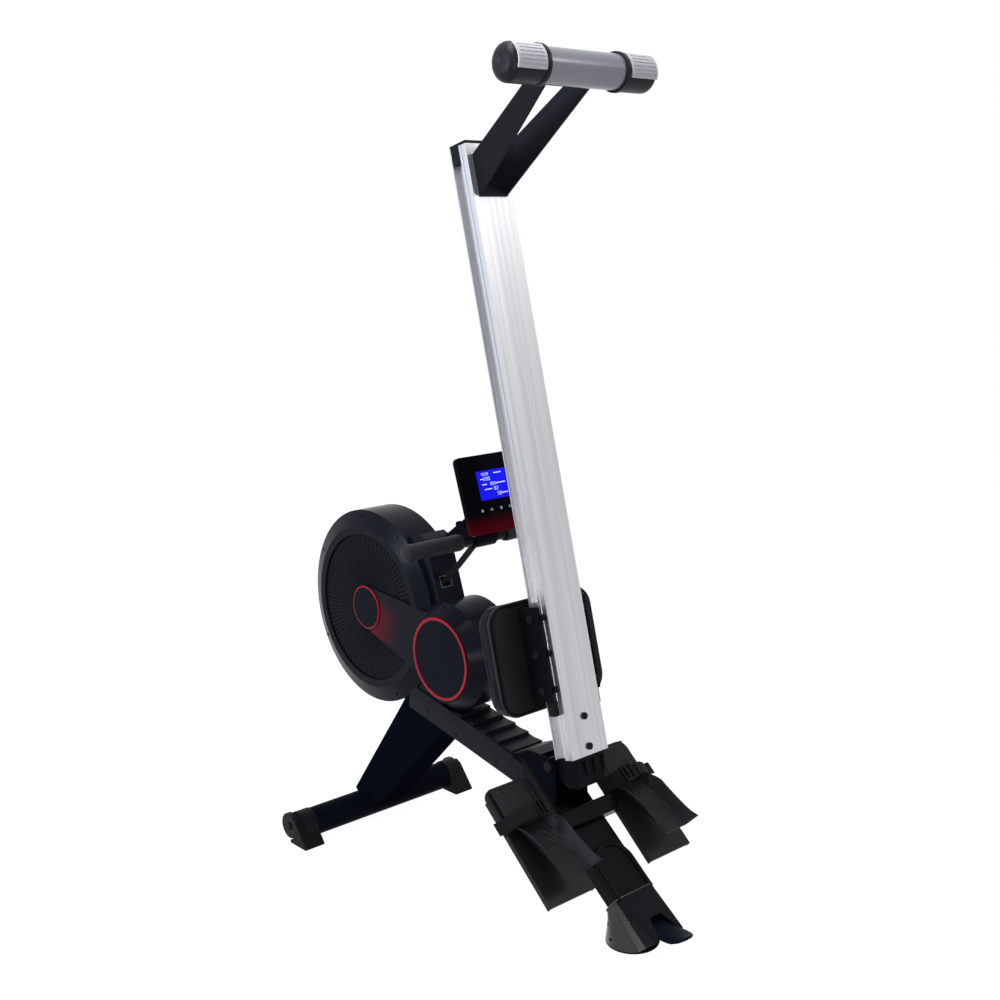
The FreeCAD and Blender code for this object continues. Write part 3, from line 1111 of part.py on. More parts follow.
def handle():
    """Bar with two grips, a hub at its middle and the strap that runs to the spool."""
    end = HANDLE_HALF - GRIP_END
    tube = bar(HANDLE_X, HANDLE_Z, HANDLE_RADIUS, -end, end)
    tube = tube.cut(bar(HANDLE_X, HANDLE_Z, HANDLE_RADIUS - 2, -end, end))
    write("handle_tube", tube)
    grip = bar(HANDLE_X, HANDLE_Z, GRIP_RADIUS, GRIP_START, HANDLE_HALF)
    grip = grip.makeFillet(3.0, [e for e in grip.Edges if e.Curve.TypeId == "Part::GeomCircle"])
    grip = grip.cut(bar(HANDLE_X, HANDLE_Z, HANDLE_RADIUS, GRIP_START - 1, end))
    write("handle_grips", *pair(grip))
    hub = bar(HANDLE_X, HANDLE_Z, HUB_RADIUS, -HUB_HALF, HUB_HALF)
    hub = hub.cut(bar(HANDLE_X, HANDLE_Z, HANDLE_RADIUS, -60, 60))
    write("handle_hub", hub)

    # the strap's straight run, from inside the outlet to the hub
    lean = math.radians(NECK_LEAN)
    outlet_x = NECK_FOOT_X - OUTLET_ALONG * math.sin(lean)
    outlet_z = NECK_FOOT_Z + OUTLET_ALONG * math.cos(lean)
    run = math.hypot(HANDLE_X - outlet_x, HANDLE_Z - outlet_z)
    aim = math.degrees(math.atan2(HANDLE_Z - outlet_z, HANDLE_X - outlet_x))
    strap = block(-PULL_STRAP_TAIL, run - HUB_RADIUS + 0.5,
                  OUTLET_MIDDLE - PULL_STRAP_HALF, OUTLET_MIDDLE + PULL_STRAP_HALF,
                  -PULL_STRAP_THICKNESS / 2, PULL_STRAP_THICKNESS / 2)
    strap = placed(strap, outlet_x, outlet_z, -aim)
    strap = strap.cut(bar(HANDLE_X, HANDLE_Z, HUB_RADIUS, -60, 60))
    write("pull_strap", strap)


# ---- rail and what is fixed to it --------------------------------------------------------

def rail_section():
    """Outline of the rail's section as (out, y) points, one half then the other."""
    low = -RAIL_CHANNEL_LOW
    bead = RAIL_HALF + RAIL_BEAD
    half = [
        (0, RAIL_HALF), (low + RAIL_BEAD_WIDTH, RAIL_HALF), (low + RAIL_BEAD_WIDTH, bead), (low, bead),
        (low, CHANNEL_WEB), (-CHANNEL_TOP, CHANNEL_WEB), (-CHANNEL_TOP, RAIL_HALF), (-RAIL_DEPTH, RAIL_HALF),
    ]
    return half + [(out, -y) for out, y in reversed(half)]


def rail_hollow():
    """Outline of the hollow inside the rail, as (out, y) points."""
    low = RAIL_WALL - RAIL_CHANNEL_LOW
    web = CHANNEL_WEB - RAIL_WALL
    wide = RAIL_HALF - RAIL_WALL
    half = [(-RAIL_WALL, wide), (low, wide), (low, web), (RAIL_WALL - RAIL_DEPTH, web)]
    return half + [(out, -y) for out, y in reversed(half)]


def hinge_in_rail_frame():
    """The hinge's place as (out, along) in the rail's own frame."""
    lean = math.radians(RAIL_LEAN)
    dx = HINGE_X - RAIL_X
    dz = HINGE_Z - RAIL_Z
    return dx * math.cos(lean) + dz * math.sin(lean), dz * math.cos(lean) - dx * math.sin(lean)


def rail():
    """Extruded rail, hinge block, bolts, end cap and the stops in its side channels."""
    section = slab_up(rail_section(), 0, RAIL_LENGTH).cut(slab_up(rail_hollow(), -1, RAIL_LENGTH + 1))
    for place in RAIL_BOLT_PLACES:
        section = section.cut(rod((-RAIL_WALL - 1, 0, place), (1, 0, place), BOLT_RADIUS))
    write("rail", on_rail(section))

    # cast block: a tongue inside the rail, a nose below it and a boss round the hinge pin
    out, along = hinge_in_rail_frame()
    inner = RAIL_WALL + JOINT_GAP
    web = CHANNEL_WEB - RAIL_WALL - JOINT_GAP
    tongue = block(inner - RAIL_DEPTH, -inner, -web, web, -1, BLOCK_TONGUE)
    nose = slab([
        (-1, -JOINT_GAP), (-1, -BLOCK_DROP / 2), (-12, -BLOCK_DROP), (6 - RAIL_DEPTH, -BLOCK_DROP),
        (out - 4, along - HINGE_BOSS_RADIUS + 1), (out, along + 2), (-RAIL_DEPTH, -JOINT_GAP),
    ], -BLOCK_HALF_WIDTH, BLOCK_HALF_WIDTH)
    boss_half = BEAM_HALF - JOINT_GAP
    boss = bar(out, along, HINGE_BOSS_RADIUS, -boss_half, boss_half)
    body = tongue.fuse([nose, boss]).removeSplitter()
    # casting pockets between the ribs of the nose
    for y in (-24, 0, 24):
        body = body.cut(block(-5, 2, y - 7, y + 7, 6 - BLOCK_DROP, -8))
    body = body.cut(bar(out, along, HINGE_PIN_RADIUS + PIN_GAP, -99, 99))
    for place in RAIL_BOLT_PLACES:
        body = body.cut(rod((BOLT_TIP, 0, place), (1, 0, place), BOLT_RADIUS))
    write("hinge_block", on_rail(body))

    bolts = []
    for place in RAIL_BOLT_PLACES:
        shank = rod((BOLT_TIP, 0, place), (0, 0, place), BOLT_RADIUS)
        head = rod((0, 0, place), (BOLT_HEAD_HEIGHT, 0, place), BOLT_HEAD_RADIUS)
        bolts.append(on_rail(shank.fuse(head).removeSplitter()))
    place = (BRACKET_LOW + BRACKET_HIGH) / 2 - 12
    head = rod((BRACKET_SHEET, 0, place), (BRACKET_SHEET + BOLT_HEAD_HEIGHT, 0, place), BOLT_HEAD_RADIUS)
    bolts.append(on_rail(head))
    write("rail_bolts", *bolts)

    cap = block(-RAIL_DEPTH, 0, -RAIL_HALF, RAIL_HALF, RAIL_LENGTH, RAIL_LENGTH + END_CAP)
    write("rail_end_cap", on_rail(soften(cap, 3.0, Z_AXIS)))

    # stops: lower ones that the carriage rests on, upper ones that end its travel
    stops = []
    channel_low = -RAIL_CHANNEL_LOW
    bead = RAIL_HALF + RAIL_BEAD
    stop_high = CARRIAGE_LOW - JOINT_GAP
    foot = block(channel_low - 11, channel_low, CHANNEL_WEB, CARRIAGE_OUTER - 2, STOP_LOW, stop_high)
    lobe = block(channel_low - 11, channel_low + 7, bead, CARRIAGE_OUTER - 2, STOP_LOW, stop_high)
    stops += [on_rail(s) for s in pair(foot.fuse(lobe).removeSplitter())]
    plug = block(-CHANNEL_TOP, channel_low, CHANNEL_WEB, RAIL_HALF, TOP_STOP_LOW, RAIL_LENGTH)
    stops += [on_rail(s) for s in pair(plug)]
    write("rail_stops", *stops)


def rear_foot():
    """Cross tube, folded bracket, end caps and the ribbed pads that meet the floor."""
    tube_x, tube_z = rail_point(REAR_TUBE_OUT, REAR_TUBE_ALONG)
    outer = FOOT_TUBE_RADIUS
    tube = bar(tube_x, tube_z, outer, -REAR_TUBE_HALF, REAR_TUBE_HALF)
    tube = tube.cut(bar(tube_x, tube_z, outer - FOOT_TUBE_WALL, -REAR_TUBE_HALF, REAR_TUBE_HALF))
    write("rear_foot_tube", tube)

    # bracket: folded sheet, with a base on the rail and two arms that splay out to the tube
    sheet = BRACKET_SHEET
    base = block(0, sheet, -BRACKET_HALF, BRACKET_HALF, BRACKET_LOW, BRACKET_HIGH)
    tip = REAR_TUBE_OUT - BRACKET_TIP_SHORT
    arm = slab([
        (0, BRACKET_LOW), (0, BRACKET_HIGH),
        (tip, REAR_TUBE_ALONG + BRACKET_TIP_ABOVE), (tip, REAR_TUBE_ALONG - BRACKET_TIP_BELOW),
    ], BRACKET_HALF - sheet, BRACKET_HALF)
    arm.rotate(V(0, BRACKET_HALF, 0), Z_AXIS, BRACKET_SPLAY)
    saddle = bar(REAR_TUBE_OUT, REAR_TUBE_ALONG, outer, -99, 99)
    bracket = base.fuse(pair(arm)).removeSplitter().cut(saddle)
    write("rear_bracket", on_rail(bracket))

    cap = bar(tube_x, tube_z, REAR_CAP_RADIUS, REAR_CAP_START, REAR_CAP_HALF)
    end_edge = [e for e in cap.Edges if e.BoundBox.YMin > REAR_CAP_HALF - 0.1]
    cap = cap.makeFillet(5.0, end_edge)
    collar = bar(tube_x, tube_z, REAR_COLLAR_RADIUS, REAR_CAP_START, REAR_CAP_START + REAR_COLLAR_WIDTH)
    cap = cap.fuse(collar).removeSplitter()
    cap = cap.cut(bar(tube_x, tube_z, outer, REAR_CAP_START - 1, REAR_TUBE_HALF))
    cap = cap.cut(bar(tube_x, tube_z, REAR_CAP_RADIUS - 12, REAR_CAP_HALF - 2, REAR_CAP_HALF + 1))
    write("rear_caps", *pair(cap))

    # ribbed rubber pads that meet the floor when the rail is down
    skin = REAR_CAP_RADIUS + REAR_PAD_PROUD
    pad = bar(tube_x, tube_z, skin, REAR_PAD_START, REAR_PAD_END)
    pad = pad.cut(bar(tube_x, tube_z, REAR_CAP_RADIUS, REAR_PAD_START - 1, REAR_PAD_END + 1))
    far = 2 * skin
    start = math.radians(REAR_PAD_FROM)
    end = math.radians(REAR_PAD_TO)
    wedge = slab([
        (tube_x, tube_z), (tube_x + far * math.cos(start), tube_z + far * math.sin(start)),
        (tube_x + far * math.cos((start + end) / 2), tube_z + far * math.sin((start + end) / 2)),
        (tube_x + far * math.cos(end), tube_z + far * math.sin(end)),
    ], 0, 300)
    pad = pad.common(wedge)
    for k in range(REAR_PAD_GROOVES):
        angle = start + (end - start) * (k + 1) / (REAR_PAD_GROOVES + 1)
        groove = bar(tube_x + skin * math.cos(angle), tube_z + skin * math.sin(angle), 1.3,
                     REAR_PAD_START + 5, REAR_PAD_END - 5)
        pad = pad.cut(groove)
    write("rear_pads", *pair(pad))


def rail_point(out, along):
    """(x, z) of a place given in the rail's own frame."""
    lean = math.radians(RAIL_LEAN)
    x = RAIL_X + out * math.cos(lean) - along * math.sin(lean)
    z = RAIL_Z + out * math.sin(lean) + along * math.cos(lean)
    return x, z


# ---- seat --------------------------------------------------------------------------------

def seat():
    """Padded seat on its board, the folded carriage under it, and the six rollers."""
    rim = -SEAT_UNDERSIDE
    cushion = block(rim - CUSHION_THICKNESS, rim, -SEAT_HALF, SEAT_HALF, SEAT_LOW, SEAT_HIGH)
    cushion = soften(cushion, SEAT_CORNER, V(1, 0, 0))
    write("seat_cushion", on_rail(cushion))
    inset = SEAT_BOARD_INSET
    board = block(rim, rim + SEAT_BOARD, inset - SEAT_HALF, SEAT_HALF - inset,
                  SEAT_LOW + inset, SEAT_HIGH - inset)
    write("seat_board", on_rail(soften(board, SEAT_CORNER - inset, V(1, 0, 0))))

    sheet = CARRIAGE_SHEET
    deck_out = rim + SEAT_BOARD
    deck = block(deck_out, deck_out + sheet, -CARRIAGE_OUTER, CARRIAGE_OUTER, CARRIAGE_LOW, CARRIAGE_HIGH)
    side = block(deck_out, CARRIAGE_OUT, CARRIAGE_INNER, CARRIAGE_OUTER, CARRIAGE_LOW, CARRIAGE_HIGH)
    guides = []
    for place in ROLLER_PLACES:
        start = RAIL_HALF + RAIL_BEAD + 2 * JOINT_GAP
        guides.append(rod((-GUIDE_OUT, start, place), (-GUIDE_OUT, CARRIAGE_INNER, place), GUIDE_RADIUS))
    frame = deck.fuse(pair(side) + [g for guide in guides for g in pair(guide)])
    axles = []
    for name, place in zip(("low", "middle", "high"), ROLLER_PLACES):
        roller_start = CHANNEL_WEB + 2.5 * JOINT_GAP
        roller_end = roller_start + ROLLER_WIDTH
        radius = ROLLER_BORE - PIN_GAP
        shank = rod((ROLLER_OUT, roller_start, place), (ROLLER_OUT, CARRIAGE_OUTER, place), radius)
        inner_end = (ROLLER_OUT, CARRIAGE_INNER, place)
        outer_end = (ROLLER_OUT, CARRIAGE_OUTER, place)
        spacer = rod((ROLLER_OUT, roller_end + JOINT_GAP, place), inner_end, radius + 2)
        head = rod(outer_end, (ROLLER_OUT, CARRIAGE_OUTER + AXLE_HEAD_HEIGHT, place), AXLE_HEAD_RADIUS)
        axles += [on_rail(a) for a in pair(shank.fuse([spacer, head]).removeSplitter())]
        hole = rod((ROLLER_OUT, 0, place), (ROLLER_OUT, 99, place), radius)
        frame = frame.cut(pair(hole))
        tyre = rod((ROLLER_OUT, roller_start, place), (ROLLER_OUT, roller_end, place), ROLLER_RADIUS)
        bore = rod((ROLLER_OUT, 0, place), (ROLLER_OUT, 99, place), ROLLER_BORE)
        write("seat_rollers_" + name, *[on_rail(r) for r in pair(tyre.cut(bore))])
    write("seat_carriage", on_rail(frame.removeSplitter()))
    write("roller_axles", *axles)


front_foot()
front_leg()
main_beam()
beam_covers()
rear_post()
boot()
pedal()
latch()
footrest()
housing()
screw_heads()
drive()
console()
handle()
rail()
rear_foot()
seat()
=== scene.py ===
import bmesh
import bpy
import math
import numpy as np
from mathutils import Matrix, Vector


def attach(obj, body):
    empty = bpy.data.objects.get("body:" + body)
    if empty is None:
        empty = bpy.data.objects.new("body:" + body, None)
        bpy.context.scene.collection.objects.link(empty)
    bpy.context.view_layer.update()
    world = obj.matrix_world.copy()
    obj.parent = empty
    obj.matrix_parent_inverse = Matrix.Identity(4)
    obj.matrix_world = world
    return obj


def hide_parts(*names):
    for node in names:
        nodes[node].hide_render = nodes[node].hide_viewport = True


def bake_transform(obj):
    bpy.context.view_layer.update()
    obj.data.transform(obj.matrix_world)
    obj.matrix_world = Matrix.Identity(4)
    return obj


# Folding rowing machine, parked upright on its boot and its front foot.
# Metres; +X towards the rower's end, +Y across to the far side, +Z up.
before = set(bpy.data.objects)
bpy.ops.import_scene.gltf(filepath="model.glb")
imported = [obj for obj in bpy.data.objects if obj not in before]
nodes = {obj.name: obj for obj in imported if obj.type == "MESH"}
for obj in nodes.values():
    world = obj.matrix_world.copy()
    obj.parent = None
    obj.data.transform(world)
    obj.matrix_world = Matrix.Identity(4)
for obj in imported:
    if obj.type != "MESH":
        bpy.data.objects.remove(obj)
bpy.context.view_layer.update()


# ---- camera -------------------------------------------------------------------------------
# An eye-level studio view from behind the boot, turned towards the flywheel housing.
# A long lens keeps the tall rail almost upright.

eye = Vector((1.6528, -1.7584, 1.3652))
yaw = math.radians(138.954)
pitch = math.radians(-10.956)
roll = math.radians(-1.5)
ahead = Vector((math.cos(yaw) * math.cos(pitch), math.sin(yaw) * math.cos(pitch), math.sin(pitch)))
level_right = Vector((math.sin(yaw), -math.cos(yaw), 0))
level_up = level_right.cross(ahead)
right = level_right * math.cos(roll) + level_up * math.sin(roll)
up = level_up * math.cos(roll) - level_right * math.sin(roll)

lens = bpy.data.cameras.new("camera")
lens.sensor_width = 36.0
lens.lens = 47.289
lens.clip_start = 0.05
lens.clip_end = 60.0
camera = bpy.data.objects.new("camera", lens)
bpy.context.scene.collection.objects.link(camera)
camera.matrix_world = Matrix((
    (right.x, up.x, -ahead.x, eye.x),
    (right.y, up.y, -ahead.y, eye.y),
    (right.z, up.z, -ahead.z, eye.z),
    (0, 0, 0, 1),
))
bpy.context.scene.camera = camera


# ---- studio: floor, sky and lamps -----------------------------------------------------------
# A plain pale floor under a white sky, which glossy parts mirror too.
# Four soft lamps: right, cool left, a small one near the eye, and one over the top end.

def node_tree(material_or_world):
    """Empties a node tree and hands back its nodes and a function that links two sockets."""
    material_or_world.use_nodes = True
    tree = material_or_world.node_tree
    tree.nodes.clear()
    return tree.nodes, tree.links.new


def seen_directly(make, link):
    """1 for rays from the eye, a mirror or a clear part, and 0 for light that falls on things."""
    path = make.new("ShaderNodeLightPath")
    glossy = make.new("ShaderNodeMath")
    glossy.operation = "MAXIMUM"
    link(path.outputs["Is Camera Ray"], glossy.inputs[0])
    link(path.outputs["Is Glossy Ray"], glossy.inputs[1])
    clear = make.new("ShaderNodeMath")
    clear.operation = "MAXIMUM"
    link(glossy.outputs[0], clear.inputs[0])
    link(path.outputs["Is Transmission Ray"], clear.inputs[1])
    return clear.outputs[0]


def studio_floor():
    """Pale diffuse floor, lifted nearly to white where the eye sees it, that keeps its shadow."""
    skin = bpy.data.materials.new("studio_floor")
    make, link = node_tree(skin)
    plain = make.new("ShaderNodeBsdfDiffuse")
    plain.inputs["Color"].default_value = (0.72, 0.72, 0.73, 1)
    dim = make.new("ShaderNodeBsdfDiffuse")
    dim.inputs["Color"].default_value = (0.16, 0.16, 0.165, 1)
    glow = make.new("ShaderNodeEmission")
    glow.inputs["Color"].default_value = (1, 1, 1, 1)
    glow.inputs["Strength"].default_value = 0.96
    lifted = make.new("ShaderNodeAddShader")
    link(dim.outputs[0], lifted.inputs[0])
    link(glow.outputs[0], lifted.inputs[1])
    choice = make.new("ShaderNodeMixShader")
    link(seen_directly(make, link), choice.inputs[0])
    link(plain.outputs[0], choice.inputs[1])
    link(lifted.outputs[0], choice.inputs[2])
    out = make.new("ShaderNodeOutputMaterial")
    link(choice.outputs[0], out.inputs["Surface"])
    return skin


floor_half = 9.0
floor_mesh = bpy.data.meshes.new("studio_floor")
floor_mesh.from_pydata(
    [(-floor_half, -floor_half, 0), (floor_half, -floor_half, 0), (floor_half, floor_half, 0),
     (-floor_half, floor_half, 0)], [], [(0, 1, 2, 3)])
floor_mesh.materials.append(studio_floor())
floor = bpy.data.objects.new("studio_floor", floor_mesh)
bpy.context.scene.collection.objects.link(floor)

sky = bpy.data.worlds.new("studio_sky")
bpy.context.scene.world = sky
make, link = node_tree(sky)
ambient = make.new("ShaderNodeBackground")
ambient.inputs["Color"].default_value = (0.92, 0.95, 1.0, 1)
ambient.inputs["Strength"].default_value = 0.36
backdrop = make.new("ShaderNodeBackground")
backdrop.inputs["Color"].default_value = (1, 1, 1, 1)
backdrop.inputs["Strength"].default_value = 1.0
choice = make.new("ShaderNodeMixShader")
link(seen_directly(make, link), choice.inputs[0])
link(ambient.outputs[0], choice.inputs[1])
link(backdrop.outputs[0], choice.inputs[2])
out = make.new("ShaderNodeOutputWorld")
link(choice.outputs[0], out.inputs["Surface"])


def lamp(name, place, target, size, colour, power):
    """A soft rectangular lamp at place that faces target."""
    data = bpy.data.lights.new(name, "AREA")
    data.shape = "RECTANGLE"
    data.size, data.size_y = size
    data.energy = power
    data.color = colour
    holder = bpy.data.objects.new(name, data)
    bpy.context.scene.collection.objects.link(holder)
    holder.location = place
    holder.rotation_euler = (Vector(target) - Vector(place)).to_track_quat("-Z", "Y").to_euler()


middle = (-0.4, 0.0, 0.8)
lamp("lamp_right", (1.9, 1.5, 2.9), middle, (0.9, 0.9), (1.0, 0.98, 0.95), 18)
lamp("lamp_left", (-1.6, -2.9, 1.7), middle, (0.8, 0.8), (0.66, 0.82, 1.0), 40)
lamp("lamp_front", (1.7, -2.0, 0.75), middle, (0.35, 0.35), (1.0, 0.96, 0.92), 15)
lamp("lamp_top", (-0.2, -0.5, 2.7), (-0.3, 0.0, 1.7), (0.6, 1.4), (1.0, 1.0, 1.0), 30)

bpy.context.scene.view_settings.view_transform = "Standard"


# ---- steel frame: leg, beam, post, foot tube --------------------------------------------------
# Welded steel tube and sheet, powder coated near-black with a fine orange-peel skin.
# The leg's coat is duller than the beam's, and the foot plates are a little greyer.

def finish(name, colour, rough, metallic=0.0, shine=0.12, vary=0.15, grain=900.0, bump=0.02, spread=3.0,
           sheen=0.0):
    """A moulded, painted or drawn finish.

    Colour is the base colour times 1 - vary...1 + vary by a broad noise of the given spread.
    A fine noise of the given grain drives both the roughness and the bump.
    """
    skin = bpy.data.materials.new(name)
    make, link = node_tree(skin)
    place = make.new("ShaderNodeTexCoord")
    broad = make.new("ShaderNodeTexNoise")
    broad.inputs["Scale"].default_value = spread
    broad.inputs["Detail"].default_value = 3.0
    link(place.outputs["Object"], broad.inputs["Vector"])
    tint = make.new("ShaderNodeMix")
    tint.name = "tint"
    tint.data_type = "RGBA"
    tint.inputs["A"].default_value = (*[c * (1 - vary) for c in colour], 1)
    tint.inputs["B"].default_value = (*[min(1.0, c * (1 + vary)) for c in colour], 1)
    link(broad.outputs["Fac"], tint.inputs["Factor"])
    fine = make.new("ShaderNodeTexNoise")
    fine.inputs["Scale"].default_value = grain
    fine.inputs["Detail"].default_value = 2.0
    link(place.outputs["Object"], fine.inputs["Vector"])
    gloss = make.new("ShaderNodeMapRange")
    gloss.inputs["To Min"].default_value = max(0.02, rough - 0.05)
    gloss.inputs["To Max"].default_value = rough + 0.07
    link(fine.outputs["Fac"], gloss.inputs["Value"])
    relief = make.new("ShaderNodeBump")
    relief.inputs["Strength"].default_value = bump
    relief.inputs["Distance"].default_value = 0.001
    link(fine.outputs["Fac"], relief.inputs["Height"])
    body = make.new("ShaderNodeBsdfPrincipled")
    body.name = "body"
    body.inputs["Metallic"].default_value = metallic
    body.inputs["Specular IOR Level"].default_value = shine
    body.inputs["Sheen Weight"].default_value = sheen
    link(tint.outputs["Result"], body.inputs["Base Color"])
    link(gloss.outputs["Result"], body.inputs["Roughness"])
    link(relief.outputs["Normal"], body.inputs["Normal"])
    out = make.new("ShaderNodeOutputMaterial")
    link(body.outputs[0], out.inputs["Surface"])
    return skin


def dress(skin, *names):
    """Gives each CAD node this material."""
    for name in names:
        mesh = nodes[name].data
        mesh.materials.clear()
        mesh.materials.append(skin)


powder_coat = finish("frame_powder_coat", (0.0030, 0.0042, 0.0082), 0.40, shine=0.008, bump=0.05, grain=700)
dress(powder_coat, "main_beam", "front_foot_tube", "console_arm")
leg_coat = finish("leg_powder_coat", (0.0034, 0.0046, 0.0088), 0.6, shine=0.0, bump=0.05, grain=700)
dress(leg_coat, "front_leg")
bracket_coat = finish("bracket_powder_coat", (0.0060, 0.0064, 0.0095), 0.38, shine=0.05, bump=0.06, grain=600)
dress(bracket_coat, "rear_bracket")
post_coat = finish("post_powder_coat", (0.0036, 0.0036, 0.0050), 0.24, shine=0.05, bump=0.04, grain=600)
dress(post_coat, "rear_post", "footrest_crossbar")
plate_coat = finish("foot_plate_coat", (0.011, 0.011, 0.013), 0.34, shine=0.13, bump=0.08, grain=500)
dress(plate_coat, "foot_plates")
block_coat = finish("hinge_block_casting", (0.0035, 0.0037, 0.005), 0.5, shine=0.05, bump=0.25, grain=260)
dress(block_coat, "hinge_block", "seat_carriage")


# ---- plastic covers, feet and wheels --------------------------------------------------------
# Injection-moulded covers with a fine spark-eroded grain, soft rubber feet and pads.
# The rear foot's grip pads are moulded in light grey.

cover_plastic = finish("beam_cover_plastic", (0.0065, 0.007, 0.0095), 0.42, shine=0.08, bump=0.10, grain=1300)
dress(cover_plastic, "beam_side_covers", "beam_step_cover", "rail_end_cap", "drive_pulley", "strap_spool")
outlet_plastic = finish("outlet_plastic", (0.05, 0.05, 0.055), 0.3, shine=0.5, bump=0.02)
dress(outlet_plastic, "strap_outlet")
cap_plastic = finish("rear_cap_plastic", (0.010, 0.0105, 0.014), 0.36, shine=0.12, bump=0.05)
foot_rubber = finish("foot_rubber", (0.0065, 0.0065, 0.008), 0.5, shine=0.07, bump=0.2, grain=500)
dress(foot_rubber, "front_feet", "boot_sole", "rail_stops", "strap_buckles")

pad_rubber = finish("rear_pad_rubber", (0.47, 0.465, 0.51), 0.55, shine=0.2, bump=0.03, grain=700)
dress(pad_rubber, "rear_pads")
wheel_plastic = finish("wheel_plastic", (0.007, 0.007, 0.009), 0.42, shine=0.08, bump=0.1, grain=800)
dress(wheel_plastic, "transport_wheel_right", "transport_wheel_left")


# ---- steel, iron and aluminium ---------------------------------------------------------------
# The rail is extruded aluminium with fine die lines along it, anodised satin silver.
# Pins and shafts are turned steel, axles and screws are blackened, and the rear cross tube is painted silver.

rail_lean = math.radians(12.887)   # off upright, while folded


def raised(skin, height, strength, distance):
    """Gives the finish a bump from this height in place of its own."""
    tree = skin.node_tree
    relief = tree.nodes.new("ShaderNodeBump")
    relief.inputs["Strength"].default_value = strength
    relief.inputs["Distance"].default_value = distance
    tree.links.new(height, relief.inputs["Height"])
    tree.links.new(relief.outputs["Normal"], tree.nodes["body"].inputs["Normal"])


def extruded(name, colour, rough):
    """Aluminium with die lines: fine and broad noises stretched along the rail's own length.

    The point is turned into the rail's frame first and scaled after that, so that the lines follow the rail.
    The fine noise is the bump; the broad one takes the colour from 0.84 to 1.08 of its value.
    """
    skin = finish(name, colour, rough, metallic=0.88, shine=0.5, vary=0.04, bump=0.0)
    tree = skin.node_tree
    place = tree.nodes.new("ShaderNodeTexCoord")
    noises = []
    for across, along in ((900, 4), (130, 1.2)):
        turn = tree.nodes.new("ShaderNodeMapping")
        turn.vector_type = "TEXTURE"
        turn.inputs["Rotation"].default_value = (0, -rail_lean, 0)
        turn.inputs["Scale"].default_value = (1 / across, 1 / across, 1 / along)
        tree.links.new(place.outputs["Object"], turn.inputs["Vector"])
        noise = tree.nodes.new("ShaderNodeTexNoise")
        noise.inputs["Scale"].default_value = 1.0
        noise.inputs["Detail"].default_value = 2.0
        tree.links.new(turn.outputs["Vector"], noise.inputs["Vector"])
        noises.append(noise.outputs["Fac"])
    fine, broad = noises
    raised(skin, fine, 0.05, 0.001)
    streak = tree.nodes.new("ShaderNodeMapRange")
    streak.inputs["From Min"].default_value = 0.3
    streak.inputs["From Max"].default_value = 0.7
    streak.inputs["To Min"].default_value = 0.84
    streak.inputs["To Max"].default_value = 1.08
    tree.links.new(broad, streak.inputs["Value"])
    lines = tree.nodes.new("ShaderNodeVectorMath")
    lines.operation = "SCALE"
    tree.links.new(tree.nodes["tint"].outputs["Result"], lines.inputs[0])
    tree.links.new(streak.outputs["Result"], lines.inputs["Scale"])
    tree.links.new(lines.outputs["Vector"], tree.nodes["body"].inputs["Base Color"])
    return skin


dress(extruded("rail_anodised_aluminium", (0.54, 0.54, 0.565), 0.34), "rail")
bright_steel = finish("bright_steel", (0.55, 0.55, 0.56), 0.28, metallic=1.0, shine=0.5, bump=0.05, grain=600)
dress(bright_steel, "pedal_pin", "latch_rod", "drive_shafts", "flywheel")
axle_steel = finish("blackened_axles", (0.012, 0.012, 0.014), 0.25, shine=0.22, bump=0.03, grain=600)
dress(axle_steel, "roller_axles")
dark_screws = finish("blackened_screws", (0.006, 0.006, 0.007), 0.35, shine=0.08, bump=0.05, grain=600)
dress(dark_screws, "cover_screws", "rail_bolts", "hinge_pin")
silver_tube = finish("rear_tube_silver", (0.20, 0.205, 0.235), 0.20, metallic=0.35, shine=0.2, grain=500)
dress(silver_tube, "rear_foot_tube")
belt = finish("belt_rubber", (0.010, 0.010, 0.010), 0.6, bump=0.1, grain=300)
dress(belt, "drive_belt")


# ---- flywheel housing --------------------------------------------------------------------------
# Two smooth dark moulded shells. A raised band with a red fade joins the boss to the drum.
# Radial slats stand in the recess of each side; thin red rings frame the boss and the drum's badge.

disc_centre = (-0.778, 0.5495)
drum_centre = (-0.494, 0.4905)
band_tilt = math.atan2(drum_centre[1] - disc_centre[1], drum_centre[0] - disc_centre[0])


def second_colour(skin, colour, factor):
    """Lays another colour over the finish's own, by this factor."""
    tree = skin.node_tree
    mixed = tree.nodes.new("ShaderNodeMix")
    mixed.data_type = "RGBA"
    mixed.inputs["B"].default_value = (*colour, 1)
    tree.links.new(factor, mixed.inputs["Factor"])
    tree.links.new(tree.nodes["tint"].outputs["Result"], mixed.inputs["A"])
    tree.links.new(mixed.outputs["Result"], tree.nodes["body"].inputs["Base Color"])


